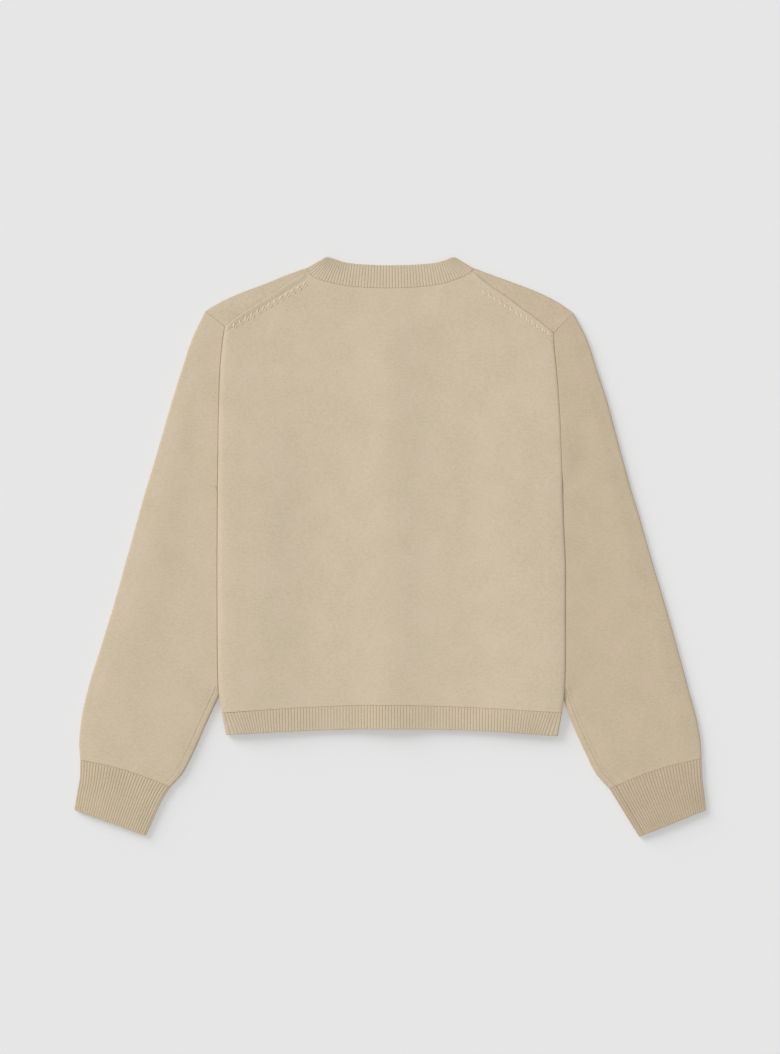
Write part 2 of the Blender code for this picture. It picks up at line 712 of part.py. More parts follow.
def build_band(name, finish, base):
    """A front band through every button, base above the cloth or the buttons under it."""
    columns = (-BAND_WIDTH / 2, -LIFT_FLAT, 0.0, LIFT_FLAT, BAND_WIDTH / 2)
    ends = (HEM[2].end_y, NECK_FRONT[0].top_y)
    heights = [ends[0]] + [y for y in ROW_HEIGHTS if ends[0] < y < ends[1]] + [ends[1]]
    outer = [[at_height((x, y), base + button_rise(x, y) + CLOTH) for x in columns]
             for y in heights]
    inner = [[at_height((x, y), base + button_rise(x, y)) for x in columns] for y in heights]
    return wall(name, finish, outer, inner)


def sleeve_sections(side):
    """The lines across a sleeve, from the shoulder down to the cuff's seam."""
    away = -inward(side)
    under = -above_sleeve(side)
    backs, fronts = side_edge_points(side), front_side_points(side)
    start = side_point(SHOULDER_FOLD[-1], side) + under
    level = point(0.0, 0.0)
    sections = [Section(start, backs[-1] + under + away, fronts[-1] + under + away, level, False)]
    for step, row in enumerate(SLEEVE_SEWN, start=2):
        sections.append(Section(side_point(row, side), backs[-step] + away, fronts[-step] + away,
                                level, row is SLEEVE_SEWN[-1]))
    for row in SLEEVE_FREE:
        outer = point(getattr(row, "outer_" + side), row.outer_y)
        inner = point(getattr(row, "inner_" + side), row.inner_y)
        sections.append(Section(outer, inner, inner, level, True))
    outer, inner, bow = cuff_line(side, 0, SEAM_GAP / 2)
    return sections + [Section(outer, inner, inner, bow, True)]


def cuff_line(side, index, shift):
    """The two ends and the bow of a line across a cuff, moved up the sleeve by a shift."""
    row = CUFF[index]
    outer = point(getattr(row, f"outer_{side}_x"), getattr(row, f"outer_{side}_y"))
    inner = point(getattr(row, f"inner_{side}_x"), getattr(row, f"inner_{side}_y"))
    along = unit(inner - outer)
    up = point(along[1] * SIGN[side], -along[0] * SIGN[side])
    return outer + up * shift, inner + up * shift, up * row.bow


def tube_section(section, puff, columns, raised=None):
    """The outer and inner points of one line round a flattened tube.

    They start on top at the inner side, go over to the outer fold, round it, back underneath
    and round the inner fold. puff gives the rise of the upper wall between its folds, and raised
    the thickness of a ribbed one.
    """
    outer_fold, back_edge, front_edge, bow, closed = section
    upper_columns, lower_columns = columns
    to_back, to_front = unit(back_edge - outer_fold), unit(front_edge - outer_fold)
    back_end = back_edge - to_back * (FOLD_REACH if closed else 0.0)
    front_end = front_edge - to_front * (FOLD_REACH if closed else 0.0)
    walls = ([], [])
    for index in range(upper_columns + 1):
        share = 1.0 - index / upper_columns
        place = mix(outer_fold + to_back * FOLD_REACH, back_end, share)
        place = place + bow * math.sin(math.pi * share)
        height = FOLD_HEIGHT + puff(place, outer_fold, back_edge)
        thick = raised(index) if raised else CLOTH
        walls[0].append(at_height(place, height - CLOTH + thick))
        walls[1].append(at_height(place, height - CLOTH))
    for depth, points in zip((0.0, CLOTH), walls):
        points += [fold_place(outer_fold, to_front, to_back, 0.0, FOLD_HEIGHT, degrees, depth)
                   for degrees in reversed(HALF_TURN)]
        for index in range(lower_columns + 1):
            share = index / lower_columns
            place = mix(outer_fold + to_front * FOLD_REACH, front_end, share)
            points.append(at_height(place + bow * math.sin(math.pi * share), depth))
        points += [fold_place(back_edge, -to_front, -to_back, 0.0, FOLD_HEIGHT, degrees, depth)
                   for degrees in HALF_TURN]
    return walls


def build_sleeve(side, finish):
    """A sleeve: open along the armhole, then a tube with an inner fold down to the cuff."""
    first_closed = len(SLEEVE_SEWN)
    outer, inner = [], []
    for section in sleeve_sections(side):

        def puff(place, outer_end, inner_end, closed=section.closed):
            from_outer = swell(np.linalg.norm(place - outer_end) / PUFF_REACH)
            from_inner = swell(np.linalg.norm(place - inner_end) / PUFF_REACH) if closed else 1.0
            beside = (abs(place[0]) - abs(side_x(side, place[1])) - SLEEVE_FLAT) / PUFF_REACH
            return SLEEVE_PUFF * from_outer * from_inner * swell(beside)

        walls = tube_section(section, puff, (SLEEVE_UPPER_COLUMNS, SLEEVE_LOWER_COLUMNS))
        outer.append(walls[0])
        inner.append(walls[1])
    open_columns = len(outer[0]) - len(HALF_TURN) - 1
    return wall("sleeve_" + side, finish, outer, inner, ring=True,
                kept=lambda row, column: row >= first_closed or column < open_columns)


def build_cuff(side, finish):
    """A ribbed cuff: a flattened tube with its ribs raised on top and plain below."""
    count = CUFF_RIBS * POINTS_PER_RIB
    outer, inner = [], []
    stops = rib_stops(CUFF_RIBS) + [count]
    below = range(count + 1, count + 1 + 2 * len(HALF_TURN) + CUFF_LOWER_COLUMNS + 1)
    stops += list(below)

    def puff(place, outer_end, inner_end):
        near = min(np.linalg.norm(place - outer_end), np.linalg.norm(place - inner_end))
        return SLEEVE_PUFF / 2 * swell(near / PUFF_REACH)

    for index in range(len(CUFF)):
        shift = -SEAM_GAP / 2 if index == 0 else 0.0
        outer_fold, inner_fold, bow = cuff_line(side, index, shift)
        walls = tube_section(Section(outer_fold, inner_fold, inner_fold, bow, True), puff,
                             (count, CUFF_LOWER_COLUMNS), rib_height)
        outer.append(walls[0])
        inner.append([walls[1][stop] for stop in stops])
    return wall("cuff_" + side, finish, outer, inner, stops, ring=True)


def button_mesh(finish):
    """A four-hole button, its face at z = 0."""
    disc = bmesh.new()
    bmesh.ops.create_cone(disc, cap_ends=True, segments=BUTTON_SIDES, depth=BUTTON_THICKNESS * MM,
                          radius1=BUTTON_RADIUS * MM, radius2=BUTTON_RADIUS * MM,
                          matrix=Matrix.Translation((0.0, 0.0, BUTTON_THICKNESS / 2 * MM)))
    rims = [edge for edge in disc.edges if edge.verts[0].co.z == edge.verts[1].co.z]
    bmesh.ops.bevel(disc, geom=rims, offset=BUTTON_BEVEL * MM, segments=1, profile=0.5,
                    affect="EDGES", material=-1)
    blank = add_object("button_blank", disc, finish)
    punch = bmesh.new()
    for x_side in (-1, 1):
        for y_side in (-1, 1):
            place = (x_side * BUTTON_HOLE_SPACING / 2 * MM, y_side * BUTTON_HOLE_SPACING / 2 * MM,
                     BUTTON_THICKNESS / 2 * MM)
            bmesh.ops.create_cone(punch, cap_ends=True, segments=BUTTON_HOLE_SIDES,
                                  depth=BUTTON_THICKNESS * 2 * MM,
                                  radius1=BUTTON_HOLE_RADIUS * MM,
                                  radius2=BUTTON_HOLE_RADIUS * MM,
                                  matrix=Matrix.Translation(place))
    cutter = add_object("button_holes", punch, finish)
    bpy.data.collections["cardigan"].objects.unlink(cutter)
    bpy.data.collections["cutters"].objects.link(cutter)
    cutter.hide_render = True
    cutter.display_type = "WIRE"
    holes = blank.modifiers.new("holes", "BOOLEAN")
    holes.operation = "DIFFERENCE"
    holes.solver = "EXACT"
    holes.object = cutter
    drilled = bpy.data.meshes.new_from_object(
        blank.evaluated_get(bpy.context.evaluated_depsgraph_get()))
    bpy.data.objects.remove(blank)
    return drilled


def build_buttons(finish):
    """The buttons, face down on the surface, up the middle of the placket."""
    shape = button_mesh(finish)
    shape.shade_smooth()
    shape.set_sharp_from_angle(angle=math.radians(SMOOTH_DEGREES))
    for number, height in enumerate(BUTTON_HEIGHTS, start=1):
        button = bpy.data.objects.new(f"button_{number}", shape)
        button.location = (0.0, height * MM, 0.0)
        bpy.data.collections["cardigan"].objects.link(button)


def make_finish(name, colour, roughness):
    finish = bpy.data.materials.new(name)
    finish.use_nodes = True
    shader = finish.node_tree.nodes["Principled BSDF"]
    shader.inputs["Base Color"].default_value = (*colour, 1.0)
    shader.inputs["Roughness"].default_value = roughness
    shader.inputs["Metallic"].default_value = 0.0
    finish.diffuse_color = (*colour, 1.0)
    return finish


def jersey(name):
    return make_finish(name, JERSEY_COLOUR, CLOTH_ROUGHNESS)


def rib(name):
    return make_finish(name, RIB_COLOUR, CLOTH_ROUGHNESS)


def clear_scene():
    for item in list(bpy.data.objects):
        bpy.data.objects.remove(item)
    for name in ("cardigan", "cutters"):
        bpy.context.scene.collection.children.link(bpy.data.collections.new(name))


def main():
    clear_scene()
    build_back(jersey("back_jersey"))
    build_back_hem(rib("back_hem_rib"))
    build_neckband(rib("neckband_rib"))
    for side in (LEFT, RIGHT):
        build_front(side, jersey(f"front_jersey_{side}"))
        build_front_hem(side, rib(f"front_hem_rib_{side}"))
        build_sleeve(side, jersey(f"sleeve_jersey_{side}"))
        build_cuff(side, rib(f"cuff_rib_{side}"))
    build_band("buttonhole_band", rib("buttonhole_band_rib"), 0.0)
    build_band("button_band", rib("button_band_rib"), CLOTH + SEAM_GAP)
    build_buttons(make_finish("button_polyester", BUTTON_COLOUR, BUTTON_ROUGHNESS))


main()
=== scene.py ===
"""The looks of a knitted cardigan that lies face down with its sleeves beside the body.

Every cloth piece is a thin shell on its solid's form, with its seams, ribs and soft creases.
Sizes in tables and fields are millimetres, and MM turns them into metres where a mesh is made.
+X is to the right of the back as it lies, +Y towards the neck, +Z up.
"""
import logging
import math
from dataclasses import dataclass, field
from enum import Enum

import bmesh
import bpy
import numpy as np
from mathutils import Matrix, Vector
from mathutils.bvhtree import BVHTree


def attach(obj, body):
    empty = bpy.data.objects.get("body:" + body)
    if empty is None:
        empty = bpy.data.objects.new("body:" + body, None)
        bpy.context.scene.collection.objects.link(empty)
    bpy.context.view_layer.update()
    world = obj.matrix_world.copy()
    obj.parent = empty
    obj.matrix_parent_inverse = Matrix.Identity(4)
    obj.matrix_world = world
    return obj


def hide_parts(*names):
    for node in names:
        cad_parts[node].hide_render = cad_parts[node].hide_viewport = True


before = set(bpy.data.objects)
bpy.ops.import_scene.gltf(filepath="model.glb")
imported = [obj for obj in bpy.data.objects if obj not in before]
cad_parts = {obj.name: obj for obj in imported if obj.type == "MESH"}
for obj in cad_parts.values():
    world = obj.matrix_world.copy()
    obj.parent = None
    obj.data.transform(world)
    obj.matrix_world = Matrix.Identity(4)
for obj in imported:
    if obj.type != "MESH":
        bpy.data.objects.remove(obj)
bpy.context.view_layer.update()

MM = 0.001
BODY = "root"
RIB_PITCH = 3.66           # mm, from the photo's ribs
UV_NAME = "cut"
BACK_SPANS = 28.0          # the back's columns are counted in spans from left to right
SHOULDER_SPANS = 5.0       # of which this many lie along each shoulder
FRONT_SPANS = 14.0         # a front's columns, from its edge to the armhole
NECK_SPANS = 9.0           # of which this many lie along the neck
UNDERARM = 5.0             # the sleeve's section at the underarm, counted from the shoulder
LOG = logging.getLogger("cardigan")
Array = np.ndarray


class Side(Enum):
    """The garment's side as it lies, and the sign of its x."""

    LEFT = -1.0
    RIGHT = 1.0

    @property
    def word(self) -> str:
        """The side's name in node names."""
        return self.name.lower()

    def pick(self, values: tuple) -> object:
        """The value for this side in a pair of the left and the right one."""
        return values[0 if self is Side.LEFT else 1]


class Edge(Enum):
    """Which rim of a grid a distance is taken from."""

    FIRST_COLUMN = "first_column"
    LAST_COLUMN = "last_column"
    FIRST_ROW = "first_row"
    LAST_ROW = "last_row"


# ---------------------------------------------------------------- numbers and curves


def mix(first: Array, second: Array, share: Array) -> Array:
    """Go a share of the way from first to second."""
    return first + (second - first) * share


def ease(value: Array) -> Array:
    """Rise from 0 to 1 with a soft start and a soft end."""
    value = np.clip(value, 0.0, 1.0)
    return value * value * (3.0 - 2.0 * value)


def swell(value: Array) -> Array:
    """Rise from 0 to 1, steep at first and then level, as cloth rises from a fold."""
    return np.sin(np.pi / 2 * np.clip(value, 0.0, 1.0))


def unit(vectors: Array) -> Array:
    """Scale vectors to length one."""
    return vectors / np.maximum(np.linalg.norm(vectors, axis=-1, keepdims=True), 1e-9)


def hump(distance: Array, width: float) -> Array:
    """A soft hump of height one at distance zero."""
    return np.exp(-(distance / width) ** 2)


def smooth(at: Array, knots: Array, values: Array) -> Array:
    """Interpolate with a smooth curve that doesn't overshoot.

    Args:
        at: where to read the curve.
        knots: rising positions of the known values.
        values: one value, or one row of values, for each knot.

    Returns:
        The values at each position, with any row axis last.
    """
    at = np.asarray(at, float)
    knots = np.asarray(knots, float)
    values = np.asarray(values, float)
    if values.ndim > 1:
        return np.stack([smooth(at, knots, column) for column in values.T], axis=-1)
    steps = np.diff(knots)
    slopes = np.diff(values) / steps
    tangents = np.zeros(len(knots))
    tangents[0], tangents[-1] = slopes[0], slopes[-1]
    turning = slopes[:-1] * slopes[1:] <= 0
    first = 2 * steps[1:] + steps[:-1]
    second = steps[1:] + 2 * steps[:-1]
    safe = np.where(turning, 1.0, slopes[:-1]), np.where(turning, 1.0, slopes[1:])
    inner = (first + second) / (first / safe[0] + second / safe[1])
    tangents[1:-1] = np.where(turning, 0.0, inner)
    cell = np.clip(np.searchsorted(knots, at, side="right") - 1, 0, len(steps) - 1)
    share = np.clip((at - knots[cell]) / steps[cell], 0.0, 1.0)
    square, cube = share ** 2, share ** 3
    return ((2 * cube - 3 * square + 1) * values[cell]
            + (cube - 2 * square + share) * steps[cell] * tangents[cell]
            + (3 * square - 2 * cube) * values[cell + 1]
            + (cube - square) * steps[cell] * tangents[cell + 1])


def lengths_along(points: Array) -> Array:
    """Length from the first point of a line to each of its points."""
    steps = np.linalg.norm(np.diff(points, axis=0), axis=-1)
    return np.concatenate([[0.0], np.cumsum(steps)])


def shifted(points: Array, distance: float) -> Array:
    """Move a flat line sideways, to the left of its own direction."""
    along = unit(np.gradient(points, axis=0))
    normal = np.stack([-along[:, 1], along[:, 0]], axis=-1)
    return points + normal * distance


def spaced(length: float, step: float, fine: bool = True) -> Array:
    """Shares along a length at an even step, closer together by both ends.

    Args:
        length: the length to divide, in mm.
        step: the even step, in mm.
        fine: whether the ends get the close steps of a rounded cloth edge.

    Returns:
        Rising shares from 0 to 1.
    """
    close = np.array((0.0, 0.15, 0.4, 0.75, 1.2, 1.8)) if fine else np.array((0.0,))
    start = close[-1]
    count = max(2, round((length - 2 * start) / step))
    middle = np.linspace(start, length - start, count + 1)
    return np.concatenate([close[:-1], middle, length - close[::-1][1:]]) / length


def per_metre(size: float) -> float:
    """The scale that gives a pattern features of a size in mm."""
    return 1.0 / (size * MM)


def to_linear(hex_colour: str) -> tuple[float, float, float, float]:
    """Turn an sRGB colour such as #C8B08A into linear red, green, blue and alpha."""
    parts = [int(hex_colour[i:i + 2], 16) / 255 for i in (1, 3, 5)]
    linear = [p / 12.92 if p <= 0.04045 else ((p + 0.055) / 1.055) ** 2.4 for p in parts]
    return (*linear, 1.0)


# ---------------------------------------------------------------- finishes


def add_node(tree: bpy.types.NodeTree, kind: str, settings: dict | None = None,
             links: dict | None = None) -> bpy.types.Node:
    """Add a shader node with its settings and links.

    Args:
        tree: the material's node tree.
        kind: the node's type, without the ShaderNode prefix.
        settings: names of the node's properties, or of its inputs, with their values.
        links: input names or numbers with the output socket that feeds each.

    Returns:
        The new node.
    """
    node = tree.nodes.new("ShaderNode" + kind)
    for name, value in (settings or {}).items():
        if isinstance(name, str) and hasattr(node, name):
            setattr(node, name, value)
        else:
            node.inputs[name].default_value = value
    for name, socket in (links or {}).items():
        tree.links.new(socket, node.inputs[name])
    return node


def math_node(tree: bpy.types.NodeTree, operation: str, first: object,
              second: object = 0.0) -> bpy.types.NodeSocket:
    """Join two numbers or sockets with a Math node.

    Args:
        tree: the material's node tree.
        operation: the node's operation.
        first: the first number or socket.
        second: the second number or socket.

    Returns:
        The socket with the result.
    """
    node = add_node(tree, "Math", {"operation": operation})
    for index, value in enumerate((first, second)):
        if isinstance(value, bpy.types.NodeSocket):
            tree.links.new(value, node.inputs[index])
        else:
            node.inputs[index].default_value = value
    return node.outputs[0]


def start_material(name: str, colour: str, rough: float,
                   gloss: float) -> tuple[bpy.types.Material, bpy.types.Node]:
    """Start a material of one colour.

    Args:
        name: the real material's name.
        colour: its sRGB colour.
        rough: its roughness.
        gloss: its specular level.

    Returns:
        The material and its shader.
    """
    finish = bpy.data.materials.new(name)
    finish.use_nodes = True
    finish.diffuse_color = to_linear(colour)
    shader = finish.node_tree.nodes["Principled BSDF"]
    shader.inputs["Base Color"].default_value = to_linear(colour)
    shader.inputs["Roughness"].default_value = rough
    shader.inputs["Specular IOR Level"].default_value = gloss
    return finish, shader


def two_tones(tree: bpy.types.NodeTree, shader: bpy.types.Node, share: bpy.types.NodeSocket,
              tones: tuple[str, str]) -> None:
    """Colour a shader between two sRGB tones."""
    blend = add_node(tree, "Mix", {"data_type": "RGBA"}, {0: share})
    for socket, tone in zip(blend.inputs[6:8], tones):
        socket.default_value = to_linear(tone)
    tree.links.new(blend.outputs[2], shader.inputs["Base Color"])


# Spun cotton, machine knitted: dull and a little fuzzy, in small V-shaped stitches, and mottled
# because the yarn's fibres took the dye unevenly.
@dataclass(frozen=True)
class KnitFinish:
    """A knitted yarn: rows of V-shaped stitches, a little uneven in tone."""

    name: str
    colour: str
    wale: float = 1.9          # width of a stitch, mm
    course: float = 1.45       # height of a stitch, mm
    relief: float = 0.22       # depth between stitches, mm
    groove: float = 0.10       # painted shade: how much darker the colour is made between stitches
    valley: float = 0.0        # and painted shade between ribs
    cloud: float = 33.0        # size of the cloudy patches, mm
    streak: tuple = (6.7, 1.9)  # length and height of the uneven rows' streaks, mm
    grain: float = 2.4         # size of the patches of one or two stitches, mm
    fuzz: float = 0.67         # loose fibres, mm: 30 times their real width, to show at all
    spread: float = 0.10       # how far the mixed patterns go from their mean, less is mottled
    pink: tuple = (1.075, 1.055, 1.09)
    yellow: tuple = (0.925, 0.945, 0.91)
    # the dark colour that the painted shade in the gaps is mixed towards
    gap_colour: str = "#7A6647"

    def material(self) -> bpy.types.Material:
        """Make the knit's material.

        Returns:
            A material that reads the piece's flat-cut coordinates in metres.
        """
        finish, shader = start_material(self.name, self.colour, 0.92, 0.25)
        tree = finish.node_tree
        cut = add_node(tree, "UVMap", {"uv_map": UV_NAME})
        split = add_node(tree, "SeparateXYZ", links={"Vector": cut.outputs["UV"]})
        height = self.stitches(tree, split.outputs["X"], split.outputs["Y"])
        place = add_node(tree, "TexCoord").outputs["Object"]
        fuzz = add_node(tree, "TexNoise", {"Scale": per_metre(self.fuzz), "Detail": 2.0},
                        {"Vector": place})
        rough = math_node(tree, "MULTIPLY", fuzz.outputs["Fac"], 0.55)
        bump = add_node(tree, "Bump", {"Strength": 0.75, "Distance": self.relief * MM},
                        {"Height": math_node(tree, "ADD", height, rough)})
        tree.links.new(bump.outputs["Normal"], shader.inputs["Normal"])
        # Painted shade: the colour is darkened between the stitches, and between the ribs where
        # that is set.
        shade = math_node(tree, "MULTIPLY", math_node(tree, "SUBTRACT", 1.0, height), self.groove)
        if self.valley:
            deep = math_node(tree, "POWER", self.legs(tree, split.outputs["X"]), 3.0)
            shade = math_node(tree, "ADD", shade, math_node(tree, "MULTIPLY", deep, self.valley))
        tree.links.new(self.tone(tree, cut.outputs["UV"], place, shade),
                       shader.inputs["Base Color"])
        shader.inputs["Sheen Weight"].default_value = 0.12
        shader.inputs["Sheen Roughness"].default_value = 0.5
        return finish

    def stitches(self, tree: bpy.types.NodeTree, across: bpy.types.NodeSocket,
                 along: bpy.types.NodeSocket) -> bpy.types.NodeSocket:
        """Draw the two slanted legs of each stitch.

        Args:
            tree: the material's node tree.
            across: metres across the stitches.
            along: metres along them.

        Returns:
            A socket with the height, from 0 between stitches to 1 on a leg.
        """
        leg = self.legs(tree, across)
        across_leg = math_node(tree, "SINE", math_node(tree, "MULTIPLY", leg, math.pi))
        row = math_node(tree, "MULTIPLY", along, 1 / (self.course * MM))
        slant = math_node(tree, "ADD", row, math_node(tree, "MULTIPLY", leg, 0.9))
        wave = math_node(tree, "SINE", math_node(tree, "MULTIPLY", slant, 2 * math.pi))
        loop = math_node(tree, "ADD", math_node(tree, "MULTIPLY", wave, 0.28), 0.72)
        return math_node(tree, "MULTIPLY", across_leg, loop)

    def legs(self, tree: bpy.types.NodeTree,
             across: bpy.types.NodeSocket) -> bpy.types.NodeSocket:
        """Run from 0 in the middle of a stitch or rib to 1 between two of them."""
        column = math_node(tree, "FRACT", math_node(tree, "MULTIPLY", across,
                                                    1 / (self.wale * MM)))
        off_middle = math_node(tree, "ABSOLUTE", math_node(tree, "SUBTRACT", column, 0.5))
        return math_node(tree, "MULTIPLY", off_middle, 2.0)

    def tone(self, tree: bpy.types.NodeTree, cut: bpy.types.NodeSocket,
             place: bpy.types.NodeSocket,
             shade: bpy.types.NodeSocket) -> bpy.types.NodeSocket:
        """Vary the yarn's colour: cloudy patches and uneven rows, with painted shade in the gaps.

        Args:
            tree: the material's node tree.
            cut: flat-cut coordinates in metres.
            place: object coordinates in metres.
            shade: how much painted shade darkens each place below a leg's crest.

        Returns:
            A socket with the colour.
        """
        clouds = add_node(tree, "TexNoise", {"Scale": per_metre(self.cloud), "Detail": 3.0,
                                             "Roughness": 0.5}, {"Vector": place})
        stretch = add_node(tree, "Mapping", {"Scale": (*map(per_metre, self.streak), 1.0)},
                           {"Vector": cut})
        rows = add_node(tree, "TexNoise", {"Scale": 1.0, "Detail": 3.0,
                                           "Roughness": 0.7}, {"Vector": stretch.outputs[0]})
        grain = add_node(tree, "TexNoise", {"Scale": per_metre(self.grain), "Detail": 2.0,
                                            "Roughness": 0.7}, {"Vector": place})
        parts = [math_node(tree, "MULTIPLY", noise.outputs["Fac"], weight)
                 for noise, weight in ((clouds, 0.22), (rows, 0.36), (grain, 0.42))]
        both = math_node(tree, "ADD", math_node(tree, "ADD", parts[0], parts[1]), parts[2])
        spread = add_node(tree, "MapRange", {"From Min": 0.5 - self.spread,
                                             "From Max": 0.5 + self.spread}, {"Value": both})
        yarn = add_node(tree, "Mix", {"data_type": "RGBA"}, {0: spread.outputs[0]})
        mean = to_linear(self.colour)
        for socket, tint in ((yarn.inputs[6], self.yellow), (yarn.inputs[7], self.pink)):
            socket.default_value = (*(m * t for m, t in zip(mean, tint)), 1.0)
        # Painted shade: the yarn's colour is multiplied towards the dark gap colour.
        dark = add_node(tree, "Mix", {"data_type": "RGBA", "blend_type": "MULTIPLY"},
                        {0: shade, 6: yarn.outputs[2]})
        dark.inputs[7].default_value = to_linear(self.gap_colour)
        return dark.outputs[2]


# Plied cotton yarn: as dull as the knit, with a fine twist that catches the light.
@dataclass(frozen=True)
class YarnFinish:
    """A plain twisted sewing yarn."""

    name: str = "plied_cotton_yarn"
    colour: str = "#CBB58D"
    shade: str = "#BBA67F"
    twist: float = 0.45        # length of a twist, mm

    def material(self) -> bpy.types.Material:
        """Make the yarn's material, with a fine twist in its bump."""
        finish, shader = start_material(self.name, self.colour, 0.9, 0.2)
        tree = finish.node_tree
        place = add_node(tree, "TexCoord").outputs["Object"]
        twist = add_node(tree, "TexNoise", {"Scale": per_metre(self.twist), "Detail": 2.0},
                         {"Vector": place})
        bump = add_node(tree, "Bump", {"Strength": 0.5, "Distance": 0.1 * MM},
                        {"Height": twist.outputs["Fac"]})
        tree.links.new(bump.outputs["Normal"], shader.inputs["Normal"])
        two_tones(tree, shader, twist.outputs["Fac"], (self.colour, self.shade))
        return finish


# Cast polyester, turned and polished: a soft gloss over faint streaks that copy horn.
@dataclass(frozen=True)
class ButtonFinish:
    """Cast polyester with the faint cloudy streaks of horn."""

    name: str = "cast_polyester_horn"
    colour: str = "#A88C66"
    streak: str = "#86694A"
    streak_size: tuple = (11.0, 3.8, 3.8)   # mm

    def material(self) -> bpy.types.Material:
        """Make the button's material."""
        finish, shader = start_material(self.name, self.colour, 0.3, 0.5)
        tree = finish.node_tree
        place = add_node(tree, "TexCoord").outputs["Object"]
        stretch = add_node(tree, "Mapping", {"Scale": tuple(map(per_metre, self.streak_size))},
                           {"Vector": place})
        streaks = add_node(tree, "TexNoise", {"Scale": 1.0, "Detail": 4.0, "Distortion": 0.6},
                           {"Vector": stretch.outputs[0]})
        two_tones(tree, shader, streaks.outputs["Fac"], (self.colour, self.streak))
        grain = add_node(tree, "Bump", {"Strength": 0.15, "Distance": 0.05 * MM},
                         {"Height": streaks.outputs["Fac"]})
        tree.links.new(grain.outputs["Normal"], shader.inputs["Normal"])
        shader.inputs["Coat Weight"].default_value = 0.3
        return finish


# Uncoated backdrop paper: matt and almost white, with nothing on it to catch the eye.
@dataclass(frozen=True)
class PaperFinish:
    """The pale seamless paper that the garment lies on."""

    name: str = "seamless_paper"
    colour: str = "#F1F1F1"

    def material(self) -> bpy.types.Material:
        """Make the paper's material."""
        return start_material(self.name, self.colour, 1.0, 0.0)[0]


# ---------------------------------------------------------------- cloth shells


def rim_distances(points: Array, used: Array, ring: bool) -> dict[Edge, Array]:
    """Measure how far each point of a grid lies from each rim, along the grid.

    Args:
        points: rows and columns of points.
        used: which points are part of the cloth.
        ring: whether the columns close into a tube where a whole row is used.

    Returns:
        A distance for each point and edge, huge where there is no such rim.
    """
    far = 1e6
    rows, columns = used.shape
    result = {edge: np.full(used.shape, far) for edge in Edge}
    across = np.concatenate([np.zeros((rows, 1)), np.cumsum(
        np.linalg.norm(np.diff(points, axis=1), axis=-1), axis=1)], axis=1)
    down = np.concatenate([np.zeros((1, columns)), np.cumsum(
        np.linalg.norm(np.diff(points, axis=0), axis=-1), axis=0)], axis=0)
    for row in range(rows):
        there = np.flatnonzero(used[row])
        if len(there) and not (ring and len(there) == columns):
            result[Edge.FIRST_COLUMN][row] = np.abs(across[row] - across[row, there[0]])
            result[Edge.LAST_COLUMN][row] = np.abs(across[row] - across[row, there[-1]])
    for column in range(columns):
        there = np.flatnonzero(used[:, column])
        if len(there):
            result[Edge.FIRST_ROW][:, column] = np.abs(down[:, column] - down[there[0], column])
            result[Edge.LAST_ROW][:, column] = np.abs(down[:, column] - down[there[-1], column])
    return result


